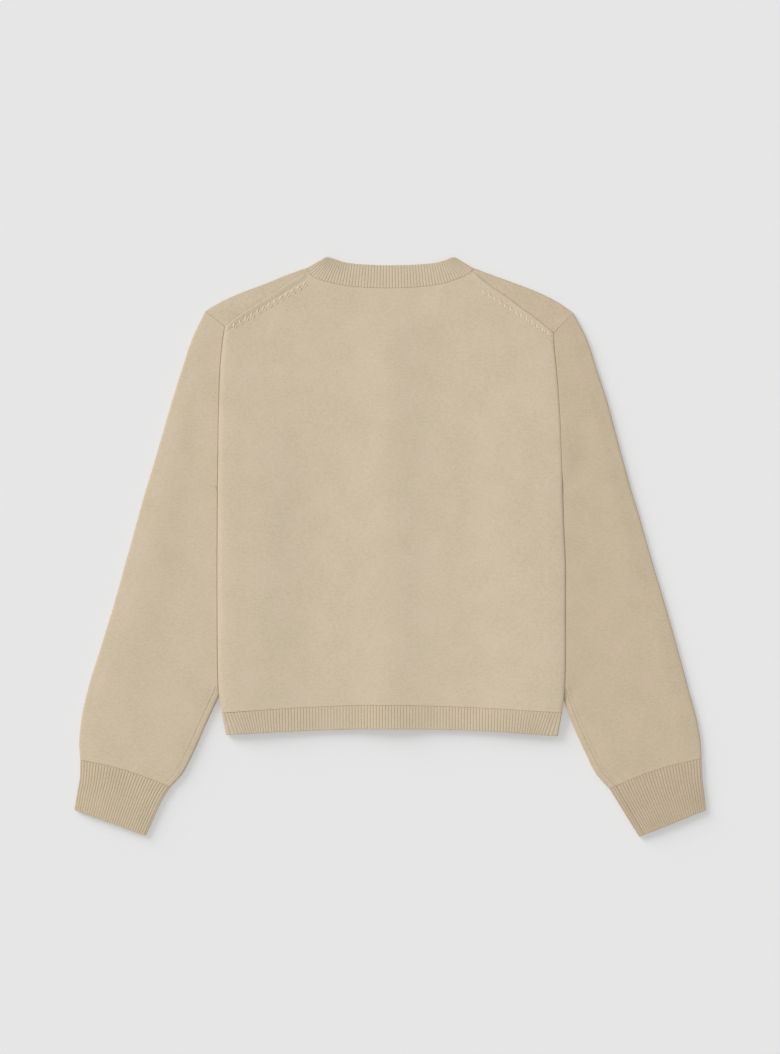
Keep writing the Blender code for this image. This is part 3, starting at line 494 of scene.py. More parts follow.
@dataclass
class Shell:
    """A closed wall of cloth between an outer and an inner grid of points."""

    name: str
    outer: Array               # rows x columns x 3, mm
    inner: Array
    cut: Array                 # rows x columns x 2, mm, where each point was on the flat cloth
    ring: bool = False
    cells: Array | None = None  # rows x columns of cells that are there
    rim: float = 1.3           # radius of the rounded edges, mm
    rims: dict[Edge, float] = field(default_factory=dict)   # other radii for some edges
    wraps: dict[Edge, float] = field(default_factory=dict)  # how far in the outer face turns down
    turned_share: Array | float = 0.35  # what is left of the thickness there, by row
    carve: Array | None = None  # how deep the outer face is cut back at each point, mm

    def build(self, material: bpy.types.Material) -> bpy.types.Object:
        """Make the mesh, with rounded rims, its cut coordinates and its material.

        Args:
            material: the cloth's material.

        Returns:
            The new object, at the origin.
        """
        rows, columns = self.outer.shape[:2]
        spans = columns if self.ring else columns - 1
        cells = self.cells if self.cells is not None else np.ones((rows - 1, spans), bool)
        used = self.used_points(cells, rows, columns)
        self.round_rims(used)
        mesh = bmesh.new()
        layer = mesh.loops.layers.uv.new(UV_NAME)
        faces = {}
        made = [self.add_points(mesh, used, grid) for grid in (self.outer, self.inner)]
        for row, column in zip(*np.nonzero(cells)):
            following = (column + 1) % columns
            corners = ((row, column), (row, following), (row + 1, following), (row + 1, column))
            faces[mesh.faces.new([made[0][c] for c in corners])] = corners
            faces[mesh.faces.new([made[1][c] for c in corners[::-1]])] = corners[::-1]
            for start, end, beside in self.sides(row, column, cells.shape):
                if beside is None or not cells[beside]:
                    strip = mesh.faces.new([made[0][start], made[1][start],
                                            made[1][end], made[0][end]])
                    faces[strip] = (start, start, end, end)
        once_round = np.array((self.turn() if self.ring else 0.0, 0.0))
        for face, corners in faces.items():
            at_join = any(column == columns - 1 for _, column in corners)
            for loop, (row, column) in zip(face.loops, corners):
                past = once_round if self.ring and at_join and column == 0 else 0.0
                loop[layer].uv = self.cut[row, column] * MM + past * MM
        bmesh.ops.recalc_face_normals(mesh, faces=mesh.faces)
        for face in mesh.faces:
            face.smooth = True
        return finish_object(self.name, mesh, material)

    def turn(self) -> float:
        """Cut width once round a ring: from the first column past the last to the first."""
        steps = np.diff(self.cut[-1, :, 0])
        return float(self.cut[-1, -1, 0] - self.cut[-1, 0, 0] + np.median(np.abs(steps)))

    def sides(self, row: int, column: int, shape: tuple[int, int]) -> list[tuple]:
        """List the four sides of a cell.

        Args:
            row: the cell's row.
            column: its column.
            shape: how many rows and columns of cells there are.

        Returns:
            For each side its start and end corner, and the cell beside it or None.
        """
        rows, spans = shape
        following = (column + 1) % (spans if self.ring else spans + 1)
        above = (row - 1, column) if row else None
        below = (row + 1, column) if row + 1 < rows else None
        left = (row, (column - 1) % spans) if self.ring or column else None
        right = (row, (column + 1) % spans) if self.ring or column + 1 < spans else None
        return [((row, column), (row, following), above),
                ((row + 1, following), (row + 1, column), below),
                ((row + 1, column), (row, column), left),
                ((row, following), (row + 1, following), right)]

    def used_points(self, cells: Array, rows: int, columns: int) -> Array:
        """Mark the points that any cell touches."""
        used = np.zeros((rows, columns), bool)
        for row, column in zip(*np.nonzero(cells)):
            following = (column + 1) % columns
            used[row:row + 2, column] = True
            used[row:row + 2, following] = True
        return used

    def round_rims(self, used: Array) -> None:
        """Carve the outer face, then draw both faces together towards each rim."""
        if self.carve is not None:
            self.outer = self.outer + unit(self.inner - self.outer) * self.carve[..., None]
        full, turned = np.ones(used.shape), np.ones(used.shape)
        for edge, distance in rim_distances(self.outer, used, self.ring).items():
            full = np.minimum(full, self.profile(distance / self.rims.get(edge, self.rim)))
            if edge in self.wraps:
                turned = np.minimum(turned, self.profile(distance / self.wraps[edge],
                                                         self.turned_share))
        self.outer = mix(self.inner, self.outer, turned[..., None])
        middle = (self.outer + self.inner) / 2
        self.outer = mix(middle, self.outer, full[..., None])
        self.inner = mix(middle, self.inner, full[..., None])

    @staticmethod
    def profile(share: Array, least: Array | float = 0.12) -> Array:
        """Thickness near a rounded edge, for distances in radii."""
        share = np.clip(share, 0.0, 1.0)
        return least + (1.0 - least) * np.sqrt(1.0 - (1.0 - share) ** 2)

    @staticmethod
    def add_points(mesh: bmesh.types.BMesh, used: Array, grid: Array) -> dict:
        """Add a vertex for each used point, by its row and column."""
        return {(row, column): mesh.verts.new(grid[row, column] * MM)
                for row, column in zip(*np.nonzero(used))}


def finish_object(name: str, mesh: bmesh.types.BMesh,
                  material: bpy.types.Material) -> bpy.types.Object:
    """Turn a bmesh into a linked object that rides on the garment's one body.

    Args:
        name: the piece's name.
        mesh: the shape in metres, freed here.
        material: its material.

    Returns:
        The new object.
    """
    data = bpy.data.meshes.new(name)
    mesh.to_mesh(data)
    mesh.free()
    data.materials.append(material)
    piece = bpy.data.objects.new(name, data)
    bpy.context.scene.collection.objects.link(piece)
    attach(piece, BODY)
    return piece


def sew(shell: Shell, finish: bpy.types.Material, node: str, slot: str,
        **sheet: object) -> bpy.types.Object:
    """Args:
        shell: the piece's shape.
        finish: its material.
        node: the solid it stands for.
        slot: not used.
        sheet: not used.

    Returns:
        The piece.
    """
    piece = shell.build(finish)
    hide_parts(node)
    return piece


def at_height(places: Array, heights: Array) -> Array:
    """Join flat places and heights into points."""
    return np.concatenate([places, np.broadcast_to(heights, places.shape[:-1])[..., None]],
                          axis=-1)


# ---------------------------------------------------------------- the garment's form


@dataclass(frozen=True)
class GarmentForm:
    """The outlines that the pieces share, and how high each layer lies."""

    cloth: float = 2.0
    rib_extra: float = 0.4     # how much thicker the ribbed pieces that show are
    gap: float = 0.3           # between layers at a side seam
    seam: float = 0.08         # between sewn pieces, seen from above
    fold_space: float = 0.6
    fold_reach: float = 2.3
    button_lift: float = 2.9
    lift_flat: float = 9.0
    lift_end: float = 27.0
    front_edge: float = 12.8
    underlap_end: float = 50.0
    button_low: float = -209.0
    button_pitch: float = 75.3333
    buttons: int = 7
    body_puff: float = 1.6
    sleeve_puff: float = 2.2
    puff_reach: float = 24.0
    tuck_rise: float = 4.9
    tuck_width: float = 50.0
    tuck_slope: float = 30.0
    tuck_fade: tuple = ((-230.0, -201.7, -186.0), (0.25, 0.92, 1.0))  # y, and share of the rise
    fold_from: tuple = (50.0, 40.0)  # where the fronts' folds start, from the middle and the side
    fold_ease: float = 20.0
    soft_start: float = 38.0       # the back's rise over the sleeves, from the side in
    soft_reach: float = 80.0
    soft_top: float = 235.0
    soft_fall: float = 170.0
    sewn_rise: float = 1.2         # how much the sewn sleeve holds the back's edge up
    ridge: float = 3.9
    ridge_width: float = 33.0
    neck_start: float = 262.0      # y above which the ridge dies out and the back sinks
    ridge_fall: float = 43.0
    neck_sink: float = 1.7
    neck_slope: tuple = (35.0, 45.0)  # how far in from the opening's edge and up it sinks
    # y, left x, right x of the body's side edges
    side_edge: tuple = ((-230.0, -199.8, 204.4), (-201.7, -204.7, 209.4), (-185.0, -207.6, 211.8),
                        (-160.0, -209.5, 213.4), (-130.0, -210.1, 213.9), (-30.0, -210.4, 213.9),
                        (30.0, -210.2, 211.6), (103.0, -209.6, 209.2), (165.0, -208.8, 206.8),
                        (213.0, -207.4, 203.4), (250.0, -204.3, 200.0), (268.7, -201.1, 199.2))
    # x, y of the hem seam, then of the hem's end
    hem: tuple = ((-204.7, -201.7, -199.8, -229.1), (-109.7, -195.8, -107.0, -224.2),
                  (-12.0, -192.5, -12.0, -221.8), (85.3, -195.0, 83.0, -223.0),
                  (209.4, -201.7, 204.4, -230.3))
    # left x, y and right x, y from the neck to the shoulder point
    shoulder_fold: tuple = ((-100.8, 340.8, 101.7, 340.4), (-127.0, 331.3, 127.0, 330.8),
                            (-153.0, 320.6, 153.0, 321.4), (-179.0, 311.0, 179.0, 311.4),
                            (-205.0, 299.5, 204.0, 299.0), (-225.1, 287.8, 223.6, 285.4))
    shoulder_seam: tuple = ((-99.3, 337.0, 99.8, 336.6), (-119.0, 325.3, 120.0, 320.0),
                            (-140.0, 310.9, 140.0, 306.2), (-160.0, 297.6, 160.0, 291.4),
                            (-181.0, 284.2, 180.0, 277.0), (-201.1, 268.7, 199.2, 260.8))
    # seam x, y and free edge x, y of lines across the back neckband
    neck_back: tuple = ((-100.8, 340.8, -79.0, 353.4), (-99.3, 337.0, -75.9, 353.4),
                        (-96.8, 331.9, -74.0, 352.9), (-92.5, 328.8, -72.2, 352.4),
                        (-85.6, 326.0, -69.6, 351.6), (-74.7, 322.6, -63.5, 349.7),
                        (-62.6, 320.0, -56.2, 347.4), (-48.7, 318.0, -45.0, 345.7),
                        (-25.0, 316.2, -23.3, 344.1), (-12.5, 315.8, -11.7, 343.7),
                        (0.0, 315.6, 0.0, 343.6), (12.5, 315.9, 11.7, 343.7),
                        (24.5, 316.4, 23.0, 344.0), (47.0, 318.3, 43.5, 345.3),
                        (62.0, 320.7, 55.8, 346.6), (74.5, 324.0, 64.5, 348.8),
                        (86.0, 328.2, 70.8, 350.9), (93.5, 331.6, 73.6, 352.2),
                        (97.4, 333.6, 75.2, 352.8), (99.8, 336.6, 76.9, 353.3),
                        (101.7, 340.4, 80.2, 353.2))
    # the same on the left front, from its edge to the fold
    neck_front: tuple = ((-12.8, 229.5, -12.8, 256.5), (-27.0, 231.6, -24.0, 258.4),
                         (-45.0, 238.0, -36.0, 263.5), (-60.0, 248.0, -46.5, 271.5),
                         (-72.0, 259.5, -54.5, 280.5), (-82.0, 273.5, -61.0, 291.0),
                         (-89.5, 289.0, -66.0, 302.5), (-95.0, 305.0, -70.0, 315.5),
                         (-98.5, 318.5, -72.6, 327.0), (-99.8, 330.0, -74.8, 339.0))
    # left x, y and right x, y of the front armhole above the underarm
    front_armhole: tuple = ((-207.9, 116.0, 207.3, 111.0), (-206.4, 158.0, 204.8, 152.5),
                            (-206.3, 200.0, 202.2, 194.0), (-208.2, 242.0, 201.5, 236.0),
                            (-215.0, 279.8, 214.4, 276.1))
    # top x, y, bottom x, y, half width, height of the back's soft folds
    folds: tuple = ((-150.0, 200.0, -148.0, -160.0, 24.0, 0.9),
                    (-82.0, 180.0, -84.0, -120.0, 26.0, -0.6),
                    (78.0, 40.0, 56.0, -176.0, 22.0, 0.6),
                    (135.0, 170.0, 137.0, -110.0, 24.0, 0.8))
    # soft folds of the fronts, which lift off the surface
    front_folds: tuple = ((-128.0, 190.0, -112.0, -150.0, 20.0, 0.7),
                          (-84.0, 60.0, -96.0, -188.0, 16.0, 0.5),
                          (96.0, 150.0, 118.0, -120.0, 19.0, 0.7),
                          (140.0, 210.0, 88.0, 40.0, 15.0, 0.5))
    # y and half width of the front neck's opening, seen from above
    neck_opening: tuple = ((257.0, 0.0), (263.0, 36.0), (278.0, 53.0), (296.0, 63.0),
                           (314.0, 70.0), (338.0, 73.5), (354.0, 79.0))

    @property
    def fold_height(self) -> float:
        """Height of a plain fold: two walls and the space between them."""
        return 2 * self.cloth + self.fold_space

    @property
    def button_heights(self) -> Array:
        """The y of each button."""
        return self.button_low + self.button_pitch * np.arange(self.buttons)

    @property
    def body_rows(self) -> Array:
        """Shares of the side edge between the hem seam and the shoulder's end."""
        low, high = float(self.hem_line(-self.front_edge)[..., 1]), self.neck_front[0][1]
        halves = self.button_low + self.button_pitch / 2 * np.arange(-1, 2 * self.buttons)
        inside = halves[(halves > low) & (halves < high)]
        return np.concatenate([[0.0], (inside - low) / (high - low), [1.0]])

    @property
    def underarm(self) -> float:
        """The share of the side edge at which the armhole starts."""
        return float(self.body_rows[-1 - len(self.front_armhole)])

    def side_x(self, side: Side, y: Array) -> Array:
        """The x of one side edge."""
        table = np.array(self.side_edge)
        return smooth(y, table[:, 0], table[:, 1 if side is Side.LEFT else 2])

    def any_side_x(self, x: Array, y: Array) -> Array:
        """How far out the side edge is that lies nearest to x."""
        return np.where(x < 0, -self.side_x(Side.LEFT, y), self.side_x(Side.RIGHT, y))

    def hem_line(self, x: Array, end: bool = False) -> Array:
        """Points of the hem seam, or of the hem's end."""
        table = np.array(self.hem)
        first = 2 if end else 0
        return np.stack([np.asarray(x, float),
                         smooth(x, table[:, first], table[:, first + 1])], axis=-1)

    def pairs(self, table: tuple, side: Side) -> Array:
        """The (x, y) columns of a side in a two-sided table."""
        first = 0 if side is Side.LEFT else 2
        return np.array(table)[:, first:first + 2]

    def side_points(self, side: Side, share: Array) -> Array:
        """Points of a side edge by their share between hem seam and shoulder."""
        low = self.hem[0][1]
        high = self.pairs(self.shoulder_seam, side)[-1, 1]
        y = mix(low, high, np.asarray(share, float))
        return np.stack([self.side_x(side, y), y], axis=-1)

    def armhole_points(self, side: Side, share: Array) -> Array:
        """The front's outer edge: the side edge, and above the underarm the front armhole."""
        share = np.asarray(share, float)
        rows = self.body_rows
        knots = rows[-1 - len(self.front_armhole):]
        points = np.concatenate([self.side_points(side, knots[:1]),
                                 self.pairs(self.front_armhole, side)])
        above = smooth(share, knots, points)
        return np.where((share > knots[0])[..., None], above, self.side_points(side, share))

    def shoulder(self, side: Side, share: Array, table: tuple) -> Array:
        """Points of the shoulder's fold or seam, from the neck out."""
        points = self.pairs(table, side)
        return smooth(share, np.linspace(0.0, 1.0, len(points)), points)

    def button_rise(self, x: Array, y: Array) -> Array:
        """How far the buttons lift the cloth on them."""
        nearest = np.min([np.abs(y - b) for b in self.button_heights], axis=0)
        along = 0.5 + 0.5 * np.cos(np.pi * np.clip(nearest / (self.button_pitch / 2), 0, 1))
        across = 1.0 - ease((np.abs(x) - self.lift_flat) / (self.lift_end - self.lift_flat))
        return self.button_lift * along * across

    def tuck(self, x: Array, y: Array) -> Array:
        """How far the sleeves lift the body's sides."""
        rows = self.body_rows
        start, stop = rows[-1 - len(self.front_armhole)], rows[-len(self.front_armhole)]
        low = self.hem[0][1]
        top = np.where(x < 0, self.shoulder_seam[-1][1], self.shoulder_seam[-1][3])
        under = 1.0 - (y - mix(low, top, start)) / ((top - low) * (stop - start))
        below = np.interp(y, *self.tuck_fade)
        away = self.any_side_x(x, y) - np.abs(x)
        across = 1.0 - ease((away - self.tuck_width) / self.tuck_slope)
        return self.tuck_rise * across * ease(under) * below

    def soft_tuck(self, x: Array, y: Array) -> Array:
        """The same rise on the back, where it starts higher up and ends farther in."""
        below = np.interp(y, *self.tuck_fade)
        away = self.any_side_x(x, y) - np.abs(x)
        across = 1.0 - ease((away - self.soft_start) / self.soft_reach)
        return self.tuck_rise * across * ease((self.soft_top - y) / self.soft_fall) * below

    def crease_height(self, x: Array, y: Array, folds: tuple) -> Array:
        """Sum of soft folds from a table."""
        height = np.zeros(np.broadcast(x, y).shape)
        for top_x, top_y, bottom_x, bottom_y, width, rise in folds:
            along = (top_y - y) / (top_y - bottom_y)
            middle = mix(top_x, bottom_x, along)
            inside = np.clip(along, 0.0, 1.0)
            height += rise * hump(x - middle, width) * np.sin(np.pi * inside)
        return height

    def lower(self, x: Array, y: Array) -> Array:
        """Underside of the lower layer of the body."""
        base = self.button_rise(x, y) + self.tuck(x, y)
        away = (np.abs(x) - self.front_edge) / (self.underlap_end - self.front_edge)
        lap = (self.cloth + self.gap) * (1.0 - ease(away))
        from_side = self.any_side_x(x, y) - np.abs(x)
        free = (ease((np.abs(x) - self.fold_from[0]) / self.fold_ease)
                * ease((from_side - self.fold_from[1]) / self.fold_ease))
        folds = self.crease_height(x, y, self.front_folds)
        return base + np.where(x < 0, lap, 0.0) + free * folds

    def top_line(self, x: Array) -> Array:
        """The y of the body's top outline."""
        left = self.pairs(self.shoulder_fold, Side.LEFT)[::-1]
        right = self.pairs(self.shoulder_fold, Side.RIGHT)
        points = np.concatenate([left, np.array(self.neck_back)[:, 2:], right])
        return np.interp(x, points[:, 0], points[:, 1])

    def upper(self, x: Array, y: Array) -> Array:
        """Underside of the upper layer of the body."""
        from_side = self.any_side_x(x, y) - np.abs(x)
        from_fold = self.top_line(x) - y
        up = swell(from_fold / self.puff_reach)
        free = swell(from_side / self.puff_reach) * up
        base = self.cloth + self.gap + (self.fold_space - self.gap) * ease(
            from_side / self.fold_reach)
        base = base + self.soft_tuck(x, y) + self.body_puff * free
        base += self.crease_height(x, y, self.folds) * free
        low_end = 1.0 - ease((y - self.neck_start) / self.ridge_fall)
        base += self.ridge * hump(x, self.ridge_width) * low_end
        start = mix(self.hem[0][1], self.shoulder_seam[-1][1], self.underarm)
        sewn = ease((y - start) / self.button_pitch)
        base += self.sewn_rise * sewn * (1.0 - swell(from_side / self.puff_reach)) * up
        opening = np.array(self.neck_opening)
        half = np.interp(y, opening[:, 0], opening[:, 1])
        inside = ease((half - np.abs(x)) / self.neck_slope[0])
        return base - self.neck_sink * inside * ease((y - self.neck_start) / self.neck_slope[1])

    def fold_arc(self, edge: Array, to_front: Array, to_back: Array, base: Array,
                 height: Array, degrees: Array, depth: float) -> Array:
        """Points round a fold.

        Args:
            edge: flat places of the fold's outer line, n x 2.
            to_front: unit steps from it over the lower wall.
            to_back: unit steps from it over the upper wall.
            base: underside of the lower wall at each place.
            height: top of the upper wall above base.
            degrees: angles round the fold, 180 below and 0 on top.
            depth: how far inside the outer face.

        Returns:
            Points, angles x n x 3.
        """
        angle = np.radians(np.asarray(degrees, float))[:, None]
        share = (1.0 + np.cos(angle)) / 2
        toward = mix(to_front[None], to_back[None], share[..., None])
        inset = self.fold_reach - (self.fold_reach - depth) * np.sin(angle)
        half = np.asarray(height, float) / 2
        z = base + half + (half - depth) * np.cos(angle)
        z = np.broadcast_to(z, (len(angle), len(edge)))
        return at_height(edge[None] + toward * inset[..., None], z)


def rib_depth(count: Array, relief: float) -> Array:
    """How deep a rib face is cut at a place counted in ribs, deepest at whole numbers."""
    return relief * (1.0 - np.abs(np.sin(np.pi * count)) ** 0.55)


def rib_counts(ribs: int) -> Array:
    """Places over ribs, counted in ribs, closer together in the valleys."""
    within = np.array((0.0, 0.07, 0.18, 0.34, 0.5, 0.66, 0.82, 0.93))
    return np.concatenate([(np.arange(ribs)[:, None] + within).ravel(), [float(ribs)]])


def reflect(points: Array, first: Array, second: Array) -> Array:
    """Unfold flat points over the straight line through first and second."""
    along = unit(second - first)
    offset = points - first
    return first + 2 * (offset @ along)[..., None] * along - offset


# ---------------------------------------------------------------- the sewn pieces


@dataclass
class BackPanel:
    """The back: one panel from the hem seam to the neck, with diagonal shoulders."""

    form: GarmentForm
    node: str = "back_panel"
    slot: str = "back_jersey"
    step: float = 3.2
    shoulder_rolls: tuple = (1.7, 1.5)  # height of the left and right roll inside its seam
    roll_rises: tuple = (2.6, 3.4)   # how soon it rises from the seam
    roll_reaches: tuple = (8.5, 5.6)  # and how far in it goes
    dip_middle: float = 10.5       # the trough that the fashioning marks stand in
    side_rises: tuple = (1.9, 0.25)  # height of the left and right side's roll
    side_reach: float = 9.0
    side_fade: float = 45.0
    side_wraps: tuple = (7.0, 5.0)   # how far in each side edge starts to turn down
    side_thick: tuple = ((0.35, 0.6), (0.12, 0.6))  # thickness left by the hem and the armhole
    side_turn: tuple = (65.0, 95.0)  # y of the change
    roll_start: float = 0.35       # share of the roll's height that its seam has
    dip_depth: float = 0.25
    dip_width: float = 2.2
    length: float = 520.0
    roll_rows: tuple = (2.6, 16.0, 0.8)  # closer rows along the roll: from, to and step
    flat: tuple = (0.424, 0.538)
    area: float = 0.211

    def columns(self) -> Array:
        """Column places, counted in the back's spans."""
        edges = np.array((0.006, 0.016, 0.03, 0.05, 0.08, 0.11, 0.15, 0.25, 0.3, 0.35))
        body = np.linspace(0.0, BACK_SPANS, int(BACK_SPANS) * 5 + 1)
        return np.unique(np.concatenate([body, edges, BACK_SPANS - edges]).round(6))

    def top_edge(self, places: Array) -> Array:
        """The shoulder seams and the neck seam between them."""
        form = self.form
        neck = np.array(form.neck_back)[1:-1, :2]
        neck_end = BACK_SPANS - SHOULDER_SPANS
        left = form.shoulder(Side.LEFT, 1.0 - places / SHOULDER_SPANS, form.shoulder_seam)
        right = form.shoulder(Side.RIGHT, (places - neck_end) / SHOULDER_SPANS,
                              form.shoulder_seam)
        middle = smooth(places - SHOULDER_SPANS, np.arange(len(neck)), neck)
        edge = np.where((places < SHOULDER_SPANS)[:, None], left,
                        np.where((places > neck_end)[:, None], right, middle))
        return shifted(edge, -form.seam / 2)

    def grid(self) -> tuple[Array, Array]:
        """Flat places of the panel's grid, and its column places."""
        form = self.form
        places = self.columns()
        shares = spaced(self.length, self.step)
        by_roll = 1.0 - np.arange(*self.roll_rows) / self.length
        shares = np.unique(np.concatenate([shares, by_roll]))
        half = form.seam / 2
        top = self.top_edge(places)
        left = form.side_points(Side.LEFT, shares) + (half, 0.0)
        right = form.side_points(Side.RIGHT, shares) - (half, 0.0)
        ends = form.hem[0][0] + half, form.hem[-1][0] - half
        bottom = form.hem_line(mix(*ends, places / BACK_SPANS)) + (0.0, half)
        top[0], top[-1] = left[-1], right[-1]
        bottom[0], bottom[-1] = left[0], right[0]
        share = shares[:, None, None]
        grid = mix(bottom[None], top[None], share)
        first = left[:, None] - mix(bottom[0], top[0], share)
        last = right[:, None] - mix(bottom[-1], top[-1], share)
        return grid + mix(first, last, (places / BACK_SPANS)[None, :, None]), places

    def build(self, finish: bpy.types.Material) -> bpy.types.Object:
        """Args:
            finish: the jersey's material.

        Returns:
            The panel.
        """
        form = self.form
        flat, places = self.grid()
        base = form.upper(flat[..., 0], flat[..., 1])
        base += self.seam_rolls(flat, places)
        sides = (Edge.FIRST_COLUMN, Edge.LAST_COLUMN)
        thick = [np.interp(flat[..., 1], self.side_turn, shares) for shares in self.side_thick]
        shell = Shell(self.node + "_knit", at_height(flat, base + form.cloth),
                      at_height(flat, base), flat.copy(), rim=0.4,
                      wraps=dict(zip(sides, self.side_wraps)),
                      turned_share=np.where(flat[..., 0] < 0, *thick))
        return sew(shell, finish, self.node, self.slot, flat=self.flat, held="laid",
                   area=self.area, rests_on=["front_left", "front_right"])

    def seam_rolls(self, flat: Array, places: Array) -> Array:
        """Raise a narrow roll along the shoulders and the armholes."""
        used = np.ones(flat.shape[:2], bool)
        distances = rim_distances(flat, used, False)
        from_top = distances[Edge.LAST_ROW]
        result = np.zeros(flat.shape[:2])
        shoulders = places < SHOULDER_SPANS, places > BACK_SPANS - SHOULDER_SPANS
        for shoulder, height, rise, reach in zip(shoulders, self.shoulder_rolls,
                                                 self.roll_rises, self.roll_reaches):
            roll = mix(self.roll_start, 1.0, swell(from_top / rise)) * hump(from_top, reach)
            roll = roll - self.dip_depth * hump(from_top - self.dip_middle, self.dip_width)
            result += height * roll * shoulder[None]
        for edge, rise in zip((Edge.FIRST_COLUMN, Edge.LAST_COLUMN), self.side_rises):
            away = distances[edge]
            result += rise * swell(away / self.side_reach) * hump(away, self.side_fade)
        return result


@dataclass
class Front:
    """A front: its lower sheet, the shoulder fold and the yoke strip on the back."""

    form: GarmentForm
    side: Side
    step: float = 4.5
    inset: float = 13.0            # last row of the lower sheet before the fold
    hem_growth: float = 1.25       # the columns spread towards the side seam at the hem
    length: float = 450.0
    yoke: tuple = (36.0, 2.4)      # length and step of the yoke strip's rows
    fold_rows: int = 9
    end_decay: float = 60.0        # how fast the half gap at a seam's end dies out along it
    seam_dips: tuple = (0.2, 0.5)  # how deep the left and right yoke strip sinks by its seam
    dip_reach: float = 3.4
    side_rims: tuple = (1.1, 0.35)
    flat: tuple = (0.212, 0.59)
    area: float = 0.098

    @property
    def node(self) -> str:
        """The solid this piece stands for."""
        return f"front_{self.side.word}"

    def columns(self) -> Array:
        """Column places, first along the neck and then along the shoulder."""
        neck = np.linspace(0.0, NECK_SPANS, 28)
        shoulder = np.linspace(NECK_SPANS, FRONT_SPANS, 46)[1:]
        edges = np.array((0.01, 0.025, 0.05, 0.09))
        ends = np.concatenate([edges, NECK_SPANS + edges * 0.6, FRONT_SPANS - edges * 0.6])
        return np.unique(np.concatenate([neck, shoulder, ends]).round(6))

    def neck(self, places: Array) -> Array:
        """The neck seam on this front, moved half a gap to the panel's side."""
        lines = np.array(self.form.neck_front)
        step = unit(lines[:, 2:] - lines[:, :2])
        points = lines[:, :2] - step * self.form.seam / 2
        points = smooth(np.minimum(places, NECK_SPANS), np.arange(len(points)), points)
        return points * (-self.side.value, 1.0)

    def shoulder_lines(self, shares: Array) -> tuple[Array, Array, Array, Array]:
        """Fold and seam places along the shoulder, and steps to the front and the back."""
        form, half = self.form, self.form.seam / 2
        fold = form.shoulder(self.side, shares, form.shoulder_fold)
        seam = form.shoulder(self.side, shares, form.shoulder_seam)
        seam = shifted(seam, half * self.side.value)
        across = unit(seam[-1] - fold[-1])
        inward = np.array((-across[1], across[0])) * self.side.value
        last = np.exp(-(1.0 - shares) * self.end_decay)[:, None]
        fold, seam = fold + inward * half * last, seam + inward * half * last
        line = np.array(form.neck_back)[0 if self.side is Side.LEFT else -1]
        step = unit(line[2:] - line[:2])
        first = np.exp(-shares * self.end_decay)[:, None]
        fold, seam = fold - step * half * first, seam - step * half * first
        to_back = unit(seam - fold)
        neckward = unit(self.neck(np.array([NECK_SPANS]))[0] - fold[0])
        to_front = unit(mix(neckward, to_back[-1], shares[:, None]))
        return fold, seam, to_front, to_back

    def lower_sheet(self, places: Array, to_fold: Array, shares: Array) -> Array:
        """Flat places of the lower sheet."""
        form = self.form
        half = form.seam / 2
        sign = self.side.value
        top = self.neck(places)
        past = places >= NECK_SPANS
        blend = ease(places[past] - NECK_SPANS)[:, None]
        top[past] = mix(top[past], to_fold, blend)
        outline = form.armhole_points(self.side, shares) - (sign * half, 0.0)
        side = form.side_points(self.side, np.array([0.0]))[0]
        share = (places / FRONT_SPANS) ** self.hem_growth
        xs = mix(sign * form.front_edge, side[0] - sign * half, share)
        bottom = form.hem_line(xs) + (0.0, half)
        outline[0] = bottom[-1]
        outline[-1] = top[-1]
        part = shares[:, None, None]
        grid = mix(bottom[None], top[None], part)
        last = outline[:, None] - mix(bottom[-1], top[-1], part)
        return grid + last * (places / FRONT_SPANS)[None, :, None]

    def build(self, finish: bpy.types.Material) -> bpy.types.Object:
        """Args:
            finish: the jersey's material.

        Returns:
            The front.
        """
        form, cloth = self.form, self.form.cloth
        places = self.columns()
        on_shoulder = places >= NECK_SPANS
        along = (places[on_shoulder] - NECK_SPANS) / (FRONT_SPANS - NECK_SPANS)
        fold, seam, to_front, to_back = self.shoulder_lines(along)
        shares = spaced(self.length, self.step)
        flat = self.lower_sheet(places, fold + to_front * self.inset, shares)
        base = form.lower(flat[..., 0], flat[..., 1])
        outer, inner = [at_height(flat, base)], [at_height(flat, base + cloth)]
        cuts = [flat]
        start = fold + to_back * form.fold_reach
        top = form.upper(start[:, 0], start[:, 1]) + cloth
        angles = np.linspace(180.0, 0.0, self.fold_rows)
        yoke_shares = spaced(*self.yoke)[1:]
        strip = mix(start[None], seam[None], yoke_shares[:, None, None])
        sink = self.seam_dip(strip)
        under = form.upper(strip[..., 0], strip[..., 1]) - sink
        for target, depth, lift in ((outer, 0.0, cloth), (inner, cloth, 0.0)):
            arc = form.fold_arc(fold, to_front, to_back, 0.0, top, angles, depth)
            target.append(self.padded(arc, places))
            target.append(self.padded(at_height(strip, under + lift), places))
        ends = np.stack([form.pairs(form.shoulder_fold, self.side)[i] for i in (0, -1)])
        round_fold = np.linspace(0.0, 1.0, self.fold_rows)[:, None, None] * form.fold_height
        arc_cut = (fold + to_front * form.fold_reach)[None] - to_front[None] * round_fold
        cuts.append(self.padded(arc_cut, places))
        cuts.append(self.padded(reflect(strip, ends[0], ends[1]), places))
        grids = [np.concatenate(parts) for parts in (outer, inner, cuts)]
        cells = np.ones((len(grids[0]) - 1, len(places) - 1), bool)
        cells[len(shares) - 1:, :int(np.argmax(on_shoulder))] = False
        shell = Shell(self.node + "_knit", *grids, cells=cells, rim=0.6,
                      rims={Edge.LAST_ROW: 0.15,
                            Edge.LAST_COLUMN: self.side.pick(self.side_rims)})
        return sew(shell, finish, self.node, f"front_jersey_{self.side.word}", flat=self.flat,
                   held="folded", area=self.area, rests_on=["paper_floor"])

    def seam_dip(self, strip: Array) -> Array:
        """Sink the yoke strip a little beside the back's raised roll."""
        away = np.linalg.norm(strip - strip[-1:], axis=-1)
        return self.side.pick(self.seam_dips) * hump(away, self.dip_reach)

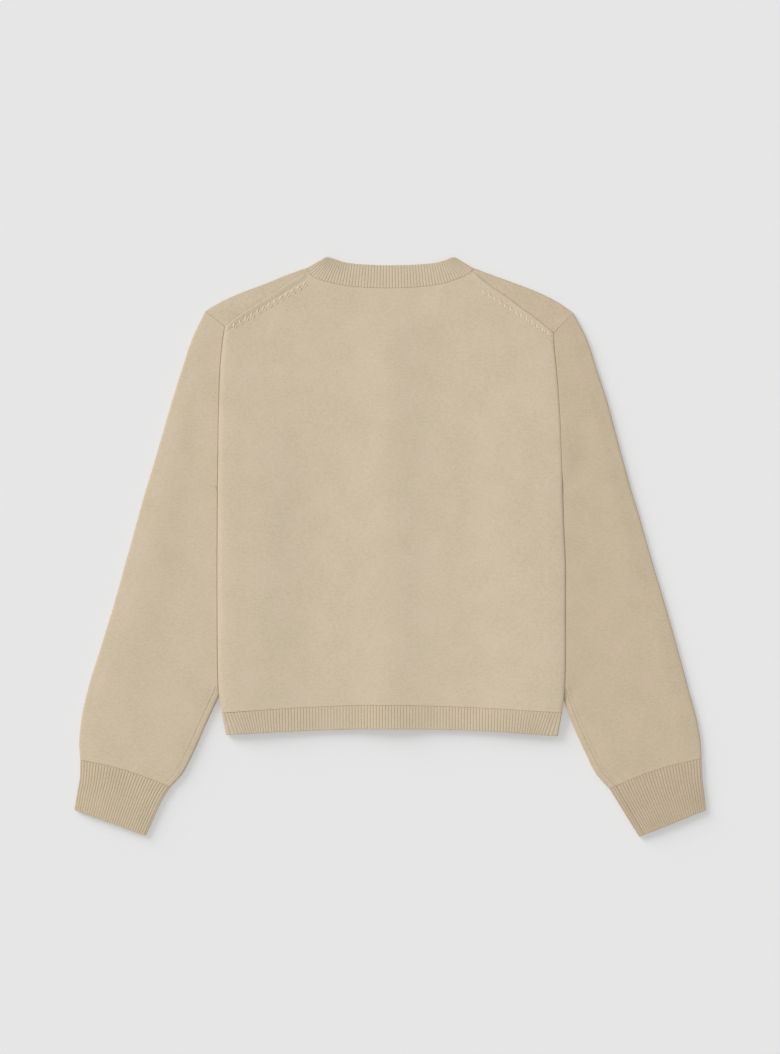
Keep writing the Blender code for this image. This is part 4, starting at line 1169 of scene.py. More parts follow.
    @staticmethod
    def padded(points: Array, places: Array) -> Array:
        """Fill up the columns before the shoulder, which these rows don't use."""
        missing = len(places) - points.shape[1]
        return np.concatenate([np.repeat(points[:, :1], missing, axis=1), points], axis=1)


@dataclass
class Sleeve:
    """A sleeve: open along the armhole, then a flattened tube down to the cuff."""

    form: GarmentForm
    side: Side
    step: float = 3.4
    last_open: float = 0.4         # from the underarm up to the last row that is open
    beside_reach: float = 1.0      # how soon the sleeve swells beside the body
    low_reaches: tuple = (0.55, 0.3)  # the same below the underarm, on the left and the right
    low_stand: float = 0.9         # how much higher it stands there, pressed to the body
    low_width: float = 16.0
    low_start: tuple = (4.5, 0.45)  # section where it changes, and over how much of one
    hidden_reach: float = 6.0      # how soon the part under the body loses its inner fold's slope
    outer_swell: float = 0.45      # share of a steep rise in the soft one from the outer fold
    cuff_reach: float = 34.0       # how far above the cuff the puff starts to sink
    edge_puff: float = 0.8         # share of the puff that its sewn edge has at once
    edge_flat: float = 0.4         # how much less it puffs along the sewn edge, on the left
    edge_reach: float = 26.0
    edge_lift: float = 0.7         # share of the body's rise that its sewn edge follows
    cuff_puff: float = 0.62        # share of the puff that is left at the cuff
    seam_start: float = 5.0        # the underarm seam shows this far inside the edge
    seam_end: float = 9.0
    seam_relief: float = 0.35      # how deep it is by the underarm
    seam_relief_low: float = 0.15  # and by the cuff
    far_columns: int = 30
    cap_rims: tuple = (1.1, 0.35)  # radius of the cap's edge by the yoke
    # the folds that run down the left and the right sleeve, as in GarmentForm.folds
    long_folds: tuple = (((-250.0, 180.0, -318.0, -170.0, 17.0, 0.8),
                          (-245.0, 40.0, -280.0, -215.0, 14.0, -0.6)),
                         ((244.0, 190.0, 300.0, -120.0, 18.0, 0.9),
                          (290.0, 60.0, 338.0, -225.0, 15.0, -0.6)))
    flat: tuple = (0.31, 0.585)
    area: float = 0.126
    # left x, right x, y of the outer fold beside the armhole
    sewn: tuple = ((-241.8, 240.4, 252.4), (-254.7, 253.3, 213.5), (-267.0, 265.9, 174.3),
                   (-278.1, 276.3, 135.5), (-289.3, 286.7, 97.3))
    # outer left x, right x, y, then inner left x, right x, y below the underarm
    free: tuple = ((-296.6, 293.1, 73.5, -190.0, 191.0, 40.0),
                   (-305.2, 302.4, 43.0, -172.5, 174.0, 5.0),
                   (-319.7, 317.2, -9.0, -171.5, 173.0, -52.0),
                   (-335.5, 334.2, -66.0, -183.5, 185.5, -110.0),
                   (-352.5, 350.2, -122.0, -201.5, 204.5, -165.0),
                   (-368.0, 363.7, -172.0, -222.7, 221.4, -213.0),
                   (-377.0, 375.1, -215.0, -241.0, 239.7, -254.0),
                   (-379.0, 379.0, -239.5, -252.3, 250.5, -275.5))

    @property
    def node(self) -> str:
        """The solid this piece stands for."""
        return f"sleeve_{self.side.word}"

    def lines(self, cuff: "Cuff") -> tuple[Array, Array, Array, Array]:
        """Section places down the sleeve, with the outer, back and front line."""
        form = self.form
        sewn, free = np.array(self.sewn), np.array(self.free)
        pick = self.side.pick((0, 1))
        shoulder = form.pairs(form.shoulder_fold, self.side)[-1]
        outer_cuff, inner_cuff = cuff.line(0.0, form.seam / 2)
        outer = np.concatenate([[shoulder], sewn[:, [pick, 2]], free[:, [pick, 2]],
                                [outer_cuff]])
        knots = np.arange(len(outer))
        inner = np.concatenate([form.side_points(self.side, np.array([form.underarm])),
                                free[:, [3 + pick, 5]], [inner_cuff]])
        down = np.linspace(0.0, knots[-1], 600)
        length = lengths_along(smooth(down, knots, outer))
        split = float(np.interp(UNDERARM, down, length))
        places = np.concatenate([spaced(split, self.step)[:-1] * split, split
                                 + spaced(length[-1] - split, self.step, False)
                                 * (length[-1] - split)])
        ends = length[-1] - np.array((1.6, 1.0, 0.6, 0.3, 0.12))
        places = np.unique(np.concatenate([places, ends, [split - self.last_open]]))
        at = np.interp(places, length, down)
        at[np.argmin(np.abs(at - UNDERARM))] = UNDERARM
        sections = np.arange(UNDERARM + 1)
        share = np.interp(at, sections, form.body_rows[::-1][:len(sections)])
        half = form.seam / 2 * self.side.value
        sewn_on = (at < UNDERARM)[:, None]
        back = np.where(sewn_on, form.side_points(self.side, share) + (half, 0.0),
                        smooth(at - UNDERARM, np.arange(len(inner)), inner))
        front = np.where(sewn_on, form.armhole_points(self.side, share) + (half, 0.0), back)
        line = smooth(at, knots, outer)
        start = line[0]
        across = unit(back[0] - start)
        down_step = -np.array((-across[1], across[0])) * self.side.value
        near = np.exp(-places / 2.0)[:, None] * form.seam / 2
        return at, line + down_step * near, back + down_step * near, front + down_step * near

    def build(self, cuff: "Cuff", finish: bpy.types.Material) -> bpy.types.Object:
        """Args:
            cuff: the cuff it ends at.
            finish: the jersey's material.

        Returns:
            The sleeve.
        """
        form, cloth = self.form, self.form.cloth
        at, outer_line, back, front = self.lines(cuff)
        closed = np.where(at >= UNDERARM, 1.0, 0.0)[:, None]
        to_back, to_front = unit(back - outer_line), unit(front - outer_line)
        under_body = form.fold_reach * closed * (1.0 - ease((at - UNDERARM) / 0.35)[:, None])
        back, front = back + to_back * under_body, front + to_front * under_body
        back_end = back - to_back * form.fold_reach * closed
        front_end = front - to_front * form.fold_reach * closed
        under = spaced(140.0, 6.5)
        bow = cuff.bow_step() * np.clip((at - (at[-1] - 1.0)), 0.0, 1.0)[:, None] ** 2
        outer_end = outer_line + to_back * form.fold_reach
        over = self.upper_shares(outer_end, back_end)
        tops = mix(outer_end[:, None], back_end[:, None], over[..., None])
        tops = tops + bow[:, None] * np.sin(np.pi * over)[..., None]
        floors = mix((outer_line + to_front * form.fold_reach)[:, None], front_end[:, None],
                     under[None, :, None])
        floors = floors + bow[:, None] * np.sin(np.pi * under)[None, :, None]
        height = form.fold_height + self.puff(tops, outer_line, back, at)
        height = height + self.creases(tops, back, at) + self.sewn_lift(tops, back, at)
        rise = self.floor_rise(floors, outer_line, front)
        angles = np.array((22.5, 45.0, 67.5, 90.0, 112.5, 135.0, 157.5))
        grids = []
        for depth in (0.0, cloth):
            outer_arc = form.fold_arc(outer_line, to_front, to_back, 0.0, form.fold_height,
                                      angles, depth)
            inner_arc = form.fold_arc(back, -to_front, -to_back, 0.0, form.fold_height,
                                      angles[::-1], depth)
            grids.append(np.concatenate([
                at_height(tops, height - depth), np.swapaxes(outer_arc, 0, 1),
                at_height(floors, rise + depth), np.swapaxes(inner_arc, 0, 1)], axis=1))
        cut = self.flat_cut(grids[0])
        columns = grids[0].shape[1]
        cells = np.ones((len(at) - 1, columns), bool)
        open_columns = columns - len(angles) - 1
        cells[:int(np.argmin(np.abs(at - UNDERARM))), open_columns:] = False
        shell = Shell(self.node + "_knit", *grids, cut, ring=True, cells=cells, rim=0.35,
                      rims={Edge.FIRST_ROW: self.side.pick(self.cap_rims)})
        return sew(shell, finish, self.node, f"sleeve_jersey_{self.side.word}", flat=self.flat,
                   held="laid", area=self.area, rests_on=["paper_floor"])

    def upper_shares(self, outer: Array, inner: Array) -> Array:
        """Shares over the upper wall from its inner end out.

        The columns stand close together by the inner end, or where the body's edge crosses them.

        Args:
            outer: the wall's outer end at each row.
            inner: its inner end.

        Returns:
            Falling shares, rows x columns, 1 at the inner end.
        """
        widths, step = np.linalg.norm(outer - inner, axis=-1), unit(outer - inner)
        crossing = np.zeros(len(widths))
        for _ in range(6):
            place = inner + step * crossing[:, None]
            crossing = crossing - self.beside(place) / np.abs(step[:, 0])
        start = np.maximum(1.4, crossing - 2.0)[:, None]
        rim = np.broadcast_to((0.0, 0.15, 0.4, 0.8), (len(widths), 4))
        before = mix(0.8, start, np.array((0.25, 0.5, 0.75))[None])
        close = start + np.array((0.0, 0.7, 1.3, 1.8, 2.05, 2.25, 2.45, 2.7, 3.0, 3.5, 4.1, 4.8,
                                  5.5, 6.3, 7.2, 8.2, 9.3, 10.4, 11.5, 12.7, 14.0))
        far = mix(close[:, -1:], widths[:, None], np.linspace(0, 1, self.far_columns + 1)[1:])
        return 1.0 - np.concatenate([rim, before, close, far], axis=1) / widths[:, None]

    def puff(self, tops: Array, outer_line: Array, back: Array, at: Array) -> Array:
        """Swell the upper wall between its folds, but not under the body."""
        form = self.form
        reach = form.puff_reach
        from_outer = np.linalg.norm(tops - outer_line[:, None], axis=-1) / reach
        from_outer = mix(ease(from_outer), swell(from_outer), self.outer_swell)
        from_inner = swell(np.linalg.norm(tops - back[:, None], axis=-1) / reach)
        hidden = np.abs(form.side_x(self.side, back[:, 1])) - np.abs(back[:, 0])
        under_body = ease(hidden / self.hidden_reach)[:, None]
        from_inner = np.maximum(from_inner, under_body)
        closed = ease((at - UNDERARM) / 0.4)[:, None]
        to_cuff = np.linalg.norm(tops - tops[-1:], axis=-1)
        near_cuff = mix(self.cuff_puff, 1.0, ease(to_cuff / self.cuff_reach))
        low = ease((at - self.low_start[0]) / self.low_start[1])[:, None]
        least = self.edge_puff * (1.0 - low)
        beside = self.beside(tops)
        low_rise = swell(beside / self.side.pick(self.low_reaches))
        rise = mix(swell(beside / self.beside_reach), low_rise, low)
        near_body = mix(least, 1.0, rise)
        stand = under_body * rise * hump(np.maximum(beside, 0), self.low_width)
        if self.side is Side.LEFT:
            sewn = 1.0 - ease((at - 3.5) / 1.5)[:, None]
            near_body = near_body * (1.0 - self.edge_flat * sewn * hump(beside, self.edge_reach))
        return (form.sleeve_puff * from_outer * mix(1.0, from_inner, closed) * near_cuff
                * near_body + self.low_stand * stand)

    def beside(self, tops: Array) -> Array:
        """How far places lie outside the body's side edge."""
        return np.abs(tops[..., 0]) - np.abs(self.form.side_x(self.side, tops[..., 1]))

    def sewn_lift(self, tops: Array, back: Array, at: Array) -> Array:
        """Raise the edge that is sewn to the back, which itself rises towards the underarm."""
        edge = self.form.soft_tuck(back[:, 0], back[:, 1])[:, None]
        open_part = 1.0 - ease((at - 4.1) / 0.85)[:, None]
        return self.edge_lift * edge * open_part * (1.0 - ease(self.beside(tops) / 34.0))

    def creases(self, tops: Array, back: Array, at: Array) -> Array:
        """The underarm seam's line, and small puckers above the cuff."""
        away = np.linalg.norm(tops - back[:, None], axis=-1)
        down = np.clip((at - UNDERARM) / (at[-1] - UNDERARM), 0, 1)
        line = mix(self.seam_start, self.seam_end, down)[:, None]
        seam = 0.7 * hump(away - line - 1.7, 1.3) - hump(away - line, 1.0)
        beside = self.beside(tops)
        below = ease((at - UNDERARM) / 0.3)[:, None] * ease((beside - 1.0) / 3.0)
        to_cuff = np.linalg.norm(tops - tops[-1:], axis=-1)
        across = np.linalg.norm(tops - tops[:, :1], axis=-1) / 125.0
        waves = (0.55 * np.sin(2 * np.pi * 8.5 * across + 0.7)
                 + 0.45 * np.sin(2 * np.pi * 13.0 * across + 2.1))
        pucker = 0.35 * waves * np.exp(-to_cuff / 13.0) * ease(to_cuff / 5.0)
        folds = self.form.crease_height(tops[..., 0], tops[..., 1],
                                        self.side.pick(self.long_folds))
        depth = mix(self.seam_relief, self.seam_relief_low, ease((at - 10.0) / 3.5))[:, None]
        return depth * seam * below + (pucker + folds) * ease((beside - 6) / 20)

    def floor_rise(self, floors: Array, outer_line: Array, front: Array) -> Array:
        """Lift the underside a little in one long soft trough."""
        wide = np.linalg.norm(front - outer_line, axis=-1)[:, None]
        across = np.linalg.norm(floors - outer_line[:, None], axis=-1) / wide
        down = np.linspace(0.0, 1.0, len(floors))[:, None]
        middle = 0.38 + 0.2 * down if self.side is Side.LEFT else 0.56 - 0.15 * down
        return 0.5 * hump(across - middle, 0.13) * np.sin(np.pi * down) ** 2

    def flat_cut(self, outer: Array) -> Array:
        """Cut coordinates: along the sleeve's axis, and round it."""
        lean = math.radians(11.0) * self.side.value
        axis = np.array((math.sin(lean), -math.cos(lean)))
        across = np.array((math.cos(lean), math.sin(lean)))
        round_it = np.concatenate([np.zeros((len(outer), 1)), np.cumsum(
            np.linalg.norm(np.diff(outer, axis=1), axis=-1), axis=1)], axis=1)
        down = outer[..., :2] @ axis
        start = outer[:, :1, :2] @ across * self.side.value
        return np.stack([start + round_it, -down], axis=-1)


@dataclass
class Cuff:
    """A ribbed cuff: a flattened tube that narrows a little."""

    form: GarmentForm
    side: Side
    ribs: int = 30
    relief: float = 0.76
    wide_middle: tuple = (0.85, 0.6)  # where the left and the right cuff's ribs fade, from inside
    seam_relief: float = 0.2       # depth of the cuff's own seam
    seam_inset: float = 7.0        # and how far inside the inner edge it shows
    step: float = 2.6
    height: float = 64.0
    width: float = 110.0           # of one side, laid flat
    flat: tuple = (0.222, 0.064)
    area: float = 0.0134
    # outer left x, y, inner left x, y, outer right x, y, inner right x, y, bow
    rows: tuple = ((-377.9, -259.3, -267.5, -292.5, 380.0, -257.5, 267.0, -294.5, 4.0),
                   (-378.4, -278.0, -276.3, -306.0, 381.2, -282.0, 277.5, -311.5, 2.0),
                   (-381.6, -299.0, -286.8, -328.0, 383.5, -301.0, 289.5, -331.0, 1.0),
                   (-385.2, -320.5, -297.7, -351.9, 385.6, -320.5, 303.4, -353.4, 0.0))

    @property
    def node(self) -> str:
        """The solid this piece stands for."""
        return f"cuff_{self.side.word}"

    def ends(self, share: Array) -> tuple[Array, Array, Array]:
        """Outer and inner fold places, and the bow, at shares down the cuff."""
        table = np.array(self.rows)
        first = 0 if self.side is Side.LEFT else 4
        knots = np.linspace(0.0, 1.0, len(table))
        return (smooth(share, knots, table[:, first:first + 2]),
                smooth(share, knots, table[:, first + 2:first + 4]),
                smooth(share, knots, table[:, 8]))

    def line(self, share: float, shift: float) -> tuple[Array, Array]:
        """The two ends of a line across, moved up the sleeve by a shift."""
        outer, inner, _ = self.ends(np.array([share]))
        up = self.up_step(outer[0], inner[0])
        return outer[0] + up * shift, inner[0] + up * shift

    def up_step(self, outer: Array, inner: Array) -> Array:
        """Unit step up the sleeve, square to a line across the cuff."""
        along = unit(inner - outer)
        return np.stack([along[..., 1], -along[..., 0]], axis=-1) * self.side.value

    def fade(self, shares: Array, phase: Array) -> Array:
        """How much of the ribs' depth is left where the cuff is pulled wide.

        Args:
            shares: shares down the cuff.
            phase: places round the cuff, counted in ribs from its inner edge.

        Returns:
            A factor for each row and column.
        """
        across = np.clip(phase / self.ribs, 0.0, 1.0)[None]
        middle = self.side.pick(self.wide_middle)
        pulled = ease((shares[:, None] - 0.35) / 0.5) * hump(across - middle, 0.3)
        return 1.0 - 0.3 * pulled

    def bow_step(self) -> Array:
        """How far the middle of the cuff's seam stands up the sleeve."""
        outer, inner, bow = self.ends(np.array([0.0]))
        return self.up_step(outer[0], inner[0]) * bow[0]

    def build(self, finish: bpy.types.Material) -> bpy.types.Object:
        """Args:
            finish: the rib's material.

        Returns:
            The cuff.
        """
        form, cloth = self.form, self.form.cloth
        shares = spaced(self.height, self.step)
        outer_line, inner_line, bow = self.ends(shares)
        up = self.up_step(outer_line, inner_line)
        shift = np.exp(-shares * 40.0)[:, None] * form.seam / 2
        outer_line, inner_line = outer_line - up * shift, inner_line - up * shift
        across = unit(inner_line - outer_line)
        start, stop = (outer_line + across * form.fold_reach,
                       inner_line - across * form.fold_reach)
        counts = rib_counts(self.ribs)
        share = counts / self.ribs
        lift = (up * bow[:, None])[:, None] * np.sin(np.pi * share)[None, :, None]
        tops = mix(stop[:, None], start[:, None], share[None, :, None]) + lift
        floors = tops[:, ::-1]
        angles = rib_counts(2)[1:-1] / 2 * 180.0
        near = np.minimum(share, 1.0 - share)[None] * self.width
        thick = form.fold_height + form.rib_extra
        top = thick + form.sleeve_puff / 2 * swell(near / form.puff_reach)
        top = np.broadcast_to(top, (len(shares), len(counts)))
        grids = []
        for depth in (0.0, cloth):
            arcs = [np.swapaxes(form.fold_arc(line, step, step, 0.0, thick, degrees, depth),
                                0, 1)
                    for line, step, degrees in ((outer_line, across, angles),
                                                (inner_line, -across, angles[::-1]))]
            grids.append(np.concatenate([at_height(tops, top - depth), arcs[0],
                                         at_height(floors, np.full(top.shape, depth)),
                                         arcs[1]], axis=1))
        phase = np.concatenate([counts, self.ribs + rib_counts(2)[1:-1],
                                self.ribs + 2 + counts, 2 * self.ribs + 2 + rib_counts(2)[1:-1]])
        carve = rib_depth(phase, self.relief)[None] * self.fade(shares, phase)
        from_inner = np.where(phase < self.ribs, phase / self.ribs, 1.0) * self.width
        carve = carve + self.seam_relief * hump(from_inner - self.seam_inset, 1.2)[None]
        cut = np.stack(np.broadcast_arrays(phase[None] * RIB_PITCH,
                                           -shares[:, None] * self.height), axis=-1)
        cells = np.ones((len(shares) - 1, grids[0].shape[1]), bool)
        shell = Shell(self.node + "_rib", *grids, cut, ring=True, cells=cells, carve=carve,
                      rims={Edge.FIRST_ROW: 0.3})
        return sew(shell, finish, self.node, f"cuff_rib_{self.side.word}", flat=self.flat,
                   held="laid", area=self.area, rests_on=["paper_floor"])


class HemPart(Enum):
    """A strip of the hem rib, by its node's name."""

    BACK = "hem_rib_back"
    FRONT_LEFT = "hem_rib_front_left"
    FRONT_RIGHT = "hem_rib_front_right"


@dataclass
class HemRib:
    """A strip of ribbed hem on the back or on a front."""

    form: GarmentForm
    part: HemPart
    ribs: int = 112
    relief: float = 0.68
    height: float = 28.0
    slant_reach: float = 38.0      # how far in from the side seams the ribs lean as they do
    lean: float = 11.0             # and how much more they lean a little farther in
    lean_start: float = 12.0
    lean_reach: float = 36.0
    flat: tuple = (0.414, 0.0285)
    slot: str = "back_hem_rib"

    def seam_and_end(self, share: Array) -> tuple[Array, Array]:
        """The hem seam and the hem's end at shares across the strip."""
        form = self.form
        table = np.array(form.hem)
        if self.part is HemPart.BACK:
            tops = mix(table[0, 0], table[-1, 0], share)
            ends = tops.copy()
            for corner in (table[0], table[-1]):
                away = np.abs(tops - corner[0])
                slant = (corner[2] - corner[0]) * np.exp(-away / self.slant_reach)
                more = (1.0 - np.exp(-away / self.lean_start)) * hump(away, self.lean_reach)
                ends = ends + slant - math.copysign(self.lean, corner[0]) * more
        else:
            pick = 0 if self.part is HemPart.FRONT_LEFT else -1
            edge = math.copysign(form.front_edge, table[pick, 0])
            tops = mix(edge, table[pick, 0], share)
            ends = mix(edge, table[pick, 2], share)
        return form.hem_line(tops), form.hem_line(ends, end=True)

    def build(self, finish: bpy.types.Material) -> bpy.types.Object:
        """Args:
            finish: the rib's material.

        Returns:
            The strip.
        """
        form = self.form
        counts = rib_counts(self.ribs)
        seam, end = self.seam_and_end(counts / self.ribs)
        seam = seam - (0.0, form.seam / 2)
        shares = spaced(self.height, 2.3)
        flat = mix(seam[None], end[None], shares[:, None, None])
        back = self.part is HemPart.BACK
        layer = form.upper if back else form.lower
        base = layer(flat[..., 0], flat[..., 1])
        thick = form.cloth + (form.rib_extra if back else 0.0)
        low, high = at_height(flat, base), at_height(flat, base + thick)
        cut = np.stack(np.broadcast_arrays(counts[None] * RIB_PITCH,
                                           -shares[:, None] * self.height), axis=-1)
        carve = np.broadcast_to(rib_depth(counts, self.relief)[None], flat.shape[:2])
        outer, inner = (high, low) if back else (low, high)
        shell = Shell(self.part.value + "_knit", outer, inner, cut, carve=carve,
                      rims={Edge.FIRST_ROW: 0.35})
        rests = ["hem_rib_front_left", "hem_rib_front_right"] if back else ["paper_floor"]
        return sew(shell, finish, self.part.value, self.slot, flat=self.flat, held="laid",
                   rests_on=rests)


@dataclass
class Neckband:
    """One ribbed strip up the left front, over the fold, along the back and down again."""

    form: GarmentForm
    back_ribs: int = 56
    front_ribs: int = 40
    relief: float = 0.68
    width: float = 27.5
    full_pitch: float = 2.2        # ribs closer together than this, mm, are shallower
    flat: tuple = (0.55, 0.0275)

    def arc_lines(self, lines: Array, ribs: int) -> Array:
        """Resample lines across the band evenly along its seam, as count x 4."""
        length = lengths_along(lines[:, :2])
        return smooth(rib_counts(ribs) / ribs * length[-1], length, lines)

    def build(self, finish: bpy.types.Material) -> bpy.types.Object:
        """Args:
            finish: the rib's material.

        Returns:
            The neckband.
        """
        form = self.form
        back = np.array(form.neck_back)
        fronts = {Side.LEFT: np.array(form.neck_front),
                  Side.RIGHT: np.array(form.neck_front) * (-1.0, 1.0, -1.0, 1.0)}
        reach = form.fold_reach
        trimmed = back.copy()
        for first, second in ((0, 1), (-1, -2)):
            for pair in (slice(0, 2), slice(2, 4)):
                step = unit(back[second, pair] - back[first, pair])
                trimmed[first, pair] = back[first, pair] + step * reach
                trimmed[second, pair] = mix(trimmed[first, pair], back[2 if first == 0 else -3,
                                                                       pair], 0.35)
        shares = spaced(self.width, 1.7)
        columns = {"outer": [], "inner": [], "count": []}
        self.add_front(columns, fronts[Side.LEFT], shares, 0.0)
        self.add_fold(columns, back[0], back[1], fronts[Side.LEFT][-1], shares,
                      float(self.front_ribs), False)
        self.add_back(columns, self.arc_lines(trimmed, self.back_ribs), shares)
        self.add_fold(columns, back[-1], back[-2], fronts[Side.RIGHT][-1], shares,
                      self.front_ribs + 2.0 + self.back_ribs, True)
        self.add_front(columns, fronts[Side.RIGHT][::-1], shares,
                       self.front_ribs + 4.0 + self.back_ribs)
        outer = np.concatenate(columns["outer"], axis=1)
        inner = np.concatenate(columns["inner"], axis=1)
        counts = np.concatenate(columns["count"])
        spacing = np.linalg.norm(np.gradient(outer, axis=1), axis=-1) / np.gradient(counts)
        narrow = np.clip(spacing / self.full_pitch, 0.35, 1.0)
        carve = rib_depth(counts, self.relief)[None] * narrow
        line = 0.4 * hump((1.0 - shares) * self.width - 6.0, 0.9)
        carve = carve + line[:, None]
        cut = np.stack(np.broadcast_arrays(counts[None] * RIB_PITCH, shares[:, None] * self.width),
                       axis=-1)
        shell = Shell("neckband_knit", outer, inner, cut, carve=carve, rim=1.0,
                      rims={Edge.FIRST_ROW: 0.3})
        return sew(shell, finish, "neckband", "neckband_rib", flat=self.flat, held="folded",
                   rests_on=["paper_floor"])

    def across(self, lines: Array, shares: Array) -> Array:
        """Flat places over the band from its seam to its free edge."""
        seam, top = lines[:, :2], lines[:, 2:]
        start = seam + unit(top - seam) * self.form.seam / 2
        return mix(start[None], top[None], shares[:, None, None])

    def add_front(self, columns: dict, lines: Array, shares: Array, first: float) -> None:
        """Add a front's stretch, its ribs cut into the face that lies down."""
        form = self.form
        flat = self.across(self.arc_lines(lines, self.front_ribs), shares)
        base = form.lower(flat[..., 0], flat[..., 1])
        columns["outer"].append(at_height(flat, base))
        columns["inner"].append(at_height(flat, base + form.cloth))
        columns["count"].append(first + rib_counts(self.front_ribs))

    def add_back(self, columns: dict, lines: Array, shares: Array) -> None:
        """Add the back's stretch, its ribs on top."""
        form = self.form
        flat = self.across(lines, shares)
        base = form.upper(flat[..., 0], flat[..., 1])
        columns["outer"].append(at_height(flat, base + form.cloth + form.rib_extra))
        columns["inner"].append(at_height(flat, base))
        columns["count"].append(self.front_ribs + 2.0 + rib_counts(self.back_ribs))

    def add_fold(self, columns: dict, fold: Array, back: Array, front: Array, shares: Array,
                 first: float, downwards: bool) -> None:
        """Add the band's turn over a shoulder fold.

        Args:
            columns: the grids so far.
            fold: the line across the band on the fold, as seam x, y and edge x, y.
            back: the next line on the back.
            front: the next line on the front.
            shares: shares over the band.
            first: the rib count where the turn starts.
            downwards: whether the turn goes from the back to the front.
        """
        form = self.form
        lines = np.stack([fold, back, front])
        flat = self.across(lines, shares)
        to_back, to_front = unit(flat[:, 1] - flat[:, 0]), unit(flat[:, 2] - flat[:, 0])
        start = flat[:, 0] + to_back * form.fold_reach
        top = form.upper(start[:, 0], start[:, 1]) + form.cloth + form.rib_extra
        counts = rib_counts(2)[1:-1]
        degrees = 180.0 * (counts / 2 if downwards else 1.0 - counts / 2)
        for key, depth in (("outer", 0.0), ("inner", form.cloth)):
            arc = form.fold_arc(flat[:, 0], to_front, to_back, 0.0, top, degrees, depth)
            columns[key].append(np.swapaxes(arc, 0, 1))
        columns["count"].append(first + counts)


@dataclass
class FrontBand:
    """A narrow ribbed band down one front edge, through every button."""

    form: GarmentForm
    node: str
    slot: str
    layers_below: int = 0          # 0 for the band with buttonholes, 1 for the one with buttons
    width: float = 25.0
    low: float = -221.8
    high: float = 256.5
    ribs: int = 7
    relief: float = 0.7

    def build(self, finish: bpy.types.Material) -> bpy.types.Object:
        """Args:
            finish: the rib's material.

        Returns:
            The band.
        """
        form = self.form
        counts = rib_counts(self.ribs)
        ys = mix(self.low, self.high, spaced(self.high - self.low, 5.0))
        xs = (counts / self.ribs - 0.5) * self.width
        flat = np.stack(np.meshgrid(xs, ys), axis=-1)
        base = form.button_rise(flat[..., 0], flat[..., 1])
        base = base + self.layers_below * (form.cloth + form.gap)
        cut = np.stack([np.broadcast_to(counts * RIB_PITCH, flat.shape[:2]), flat[..., 1]], axis=-1)
        carve = np.broadcast_to(rib_depth(counts, self.relief)[None], flat.shape[:2])
        shell = Shell(self.node + "_knit", at_height(flat, base),
                      at_height(flat, base + form.cloth), cut, carve=carve)
        below = "buttonhole_band" if self.layers_below else "paper_floor"
        return sew(shell, finish, self.node, self.slot, held="laid", rests_on=[below],
                   flat=(self.width * MM, (self.high - self.low) * MM))


@dataclass
class Buttons:
    """The row of four-hole buttons, with the yarn shank that holds each one."""

    form: GarmentForm
    button_height: float = 2.0     # where the shank starts, on the button's upper face
    shank_radius: float = 1.5
    waist: float = 0.25            # how much thinner the shank is half way
    sides: int = 16

    def dress(self, finish: bpy.types.Material, yarn: bpy.types.Material) -> None:
        """Give the solids their finish and add the shanks.

        Args:
            finish: the buttons' material.
            yarn: the shanks' material.
        """
        for number, height in enumerate(self.form.button_heights, start=1):
            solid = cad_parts[f"button_{number}"]
            for slot in solid.material_slots:
                slot.material = finish
            self.shank(number, float(height), yarn)

    def shank(self, number: int, height: float, yarn: bpy.types.Material) -> bpy.types.Object:
        """Wind a waisted yarn shank between a button and the band over it.

        Args:
            number: the button's number, from the hem up.
            height: the button's y, mm.
            yarn: the shank's material.

        Returns:
            The shank.
        """
        mesh = bmesh.new()
        bottom, top = self.button_height, self.form.button_lift
        line = []
        for level in np.linspace(0.0, 1.0, 6):
            radius = self.shank_radius * (1.0 - self.waist * math.sin(math.pi * level))
            line.append(mesh.verts.new(np.array((radius, 0.0, mix(bottom, top, level))) * MM))
        edges = [mesh.edges.new(ends) for ends in zip(line, line[1:])]
        bmesh.ops.spin(mesh, geom=line + edges, cent=(0.0, 0.0, 0.0), axis=(0.0, 0.0, 1.0),
                       angle=2 * math.pi, steps=self.sides, use_merge=True)
        bmesh.ops.remove_doubles(mesh, verts=mesh.verts, dist=0.01 * MM)
        rims = [edge for edge in mesh.edges if edge.is_boundary]
        bmesh.ops.holes_fill(mesh, edges=rims, sides=self.sides)
        bmesh.ops.recalc_face_normals(mesh, faces=mesh.faces)
        bmesh.ops.translate(mesh, verts=mesh.verts, vec=(0.0, height * MM, 0.0))
        piece = finish_object(f"button_shank_{number}", mesh, yarn)
        return piece


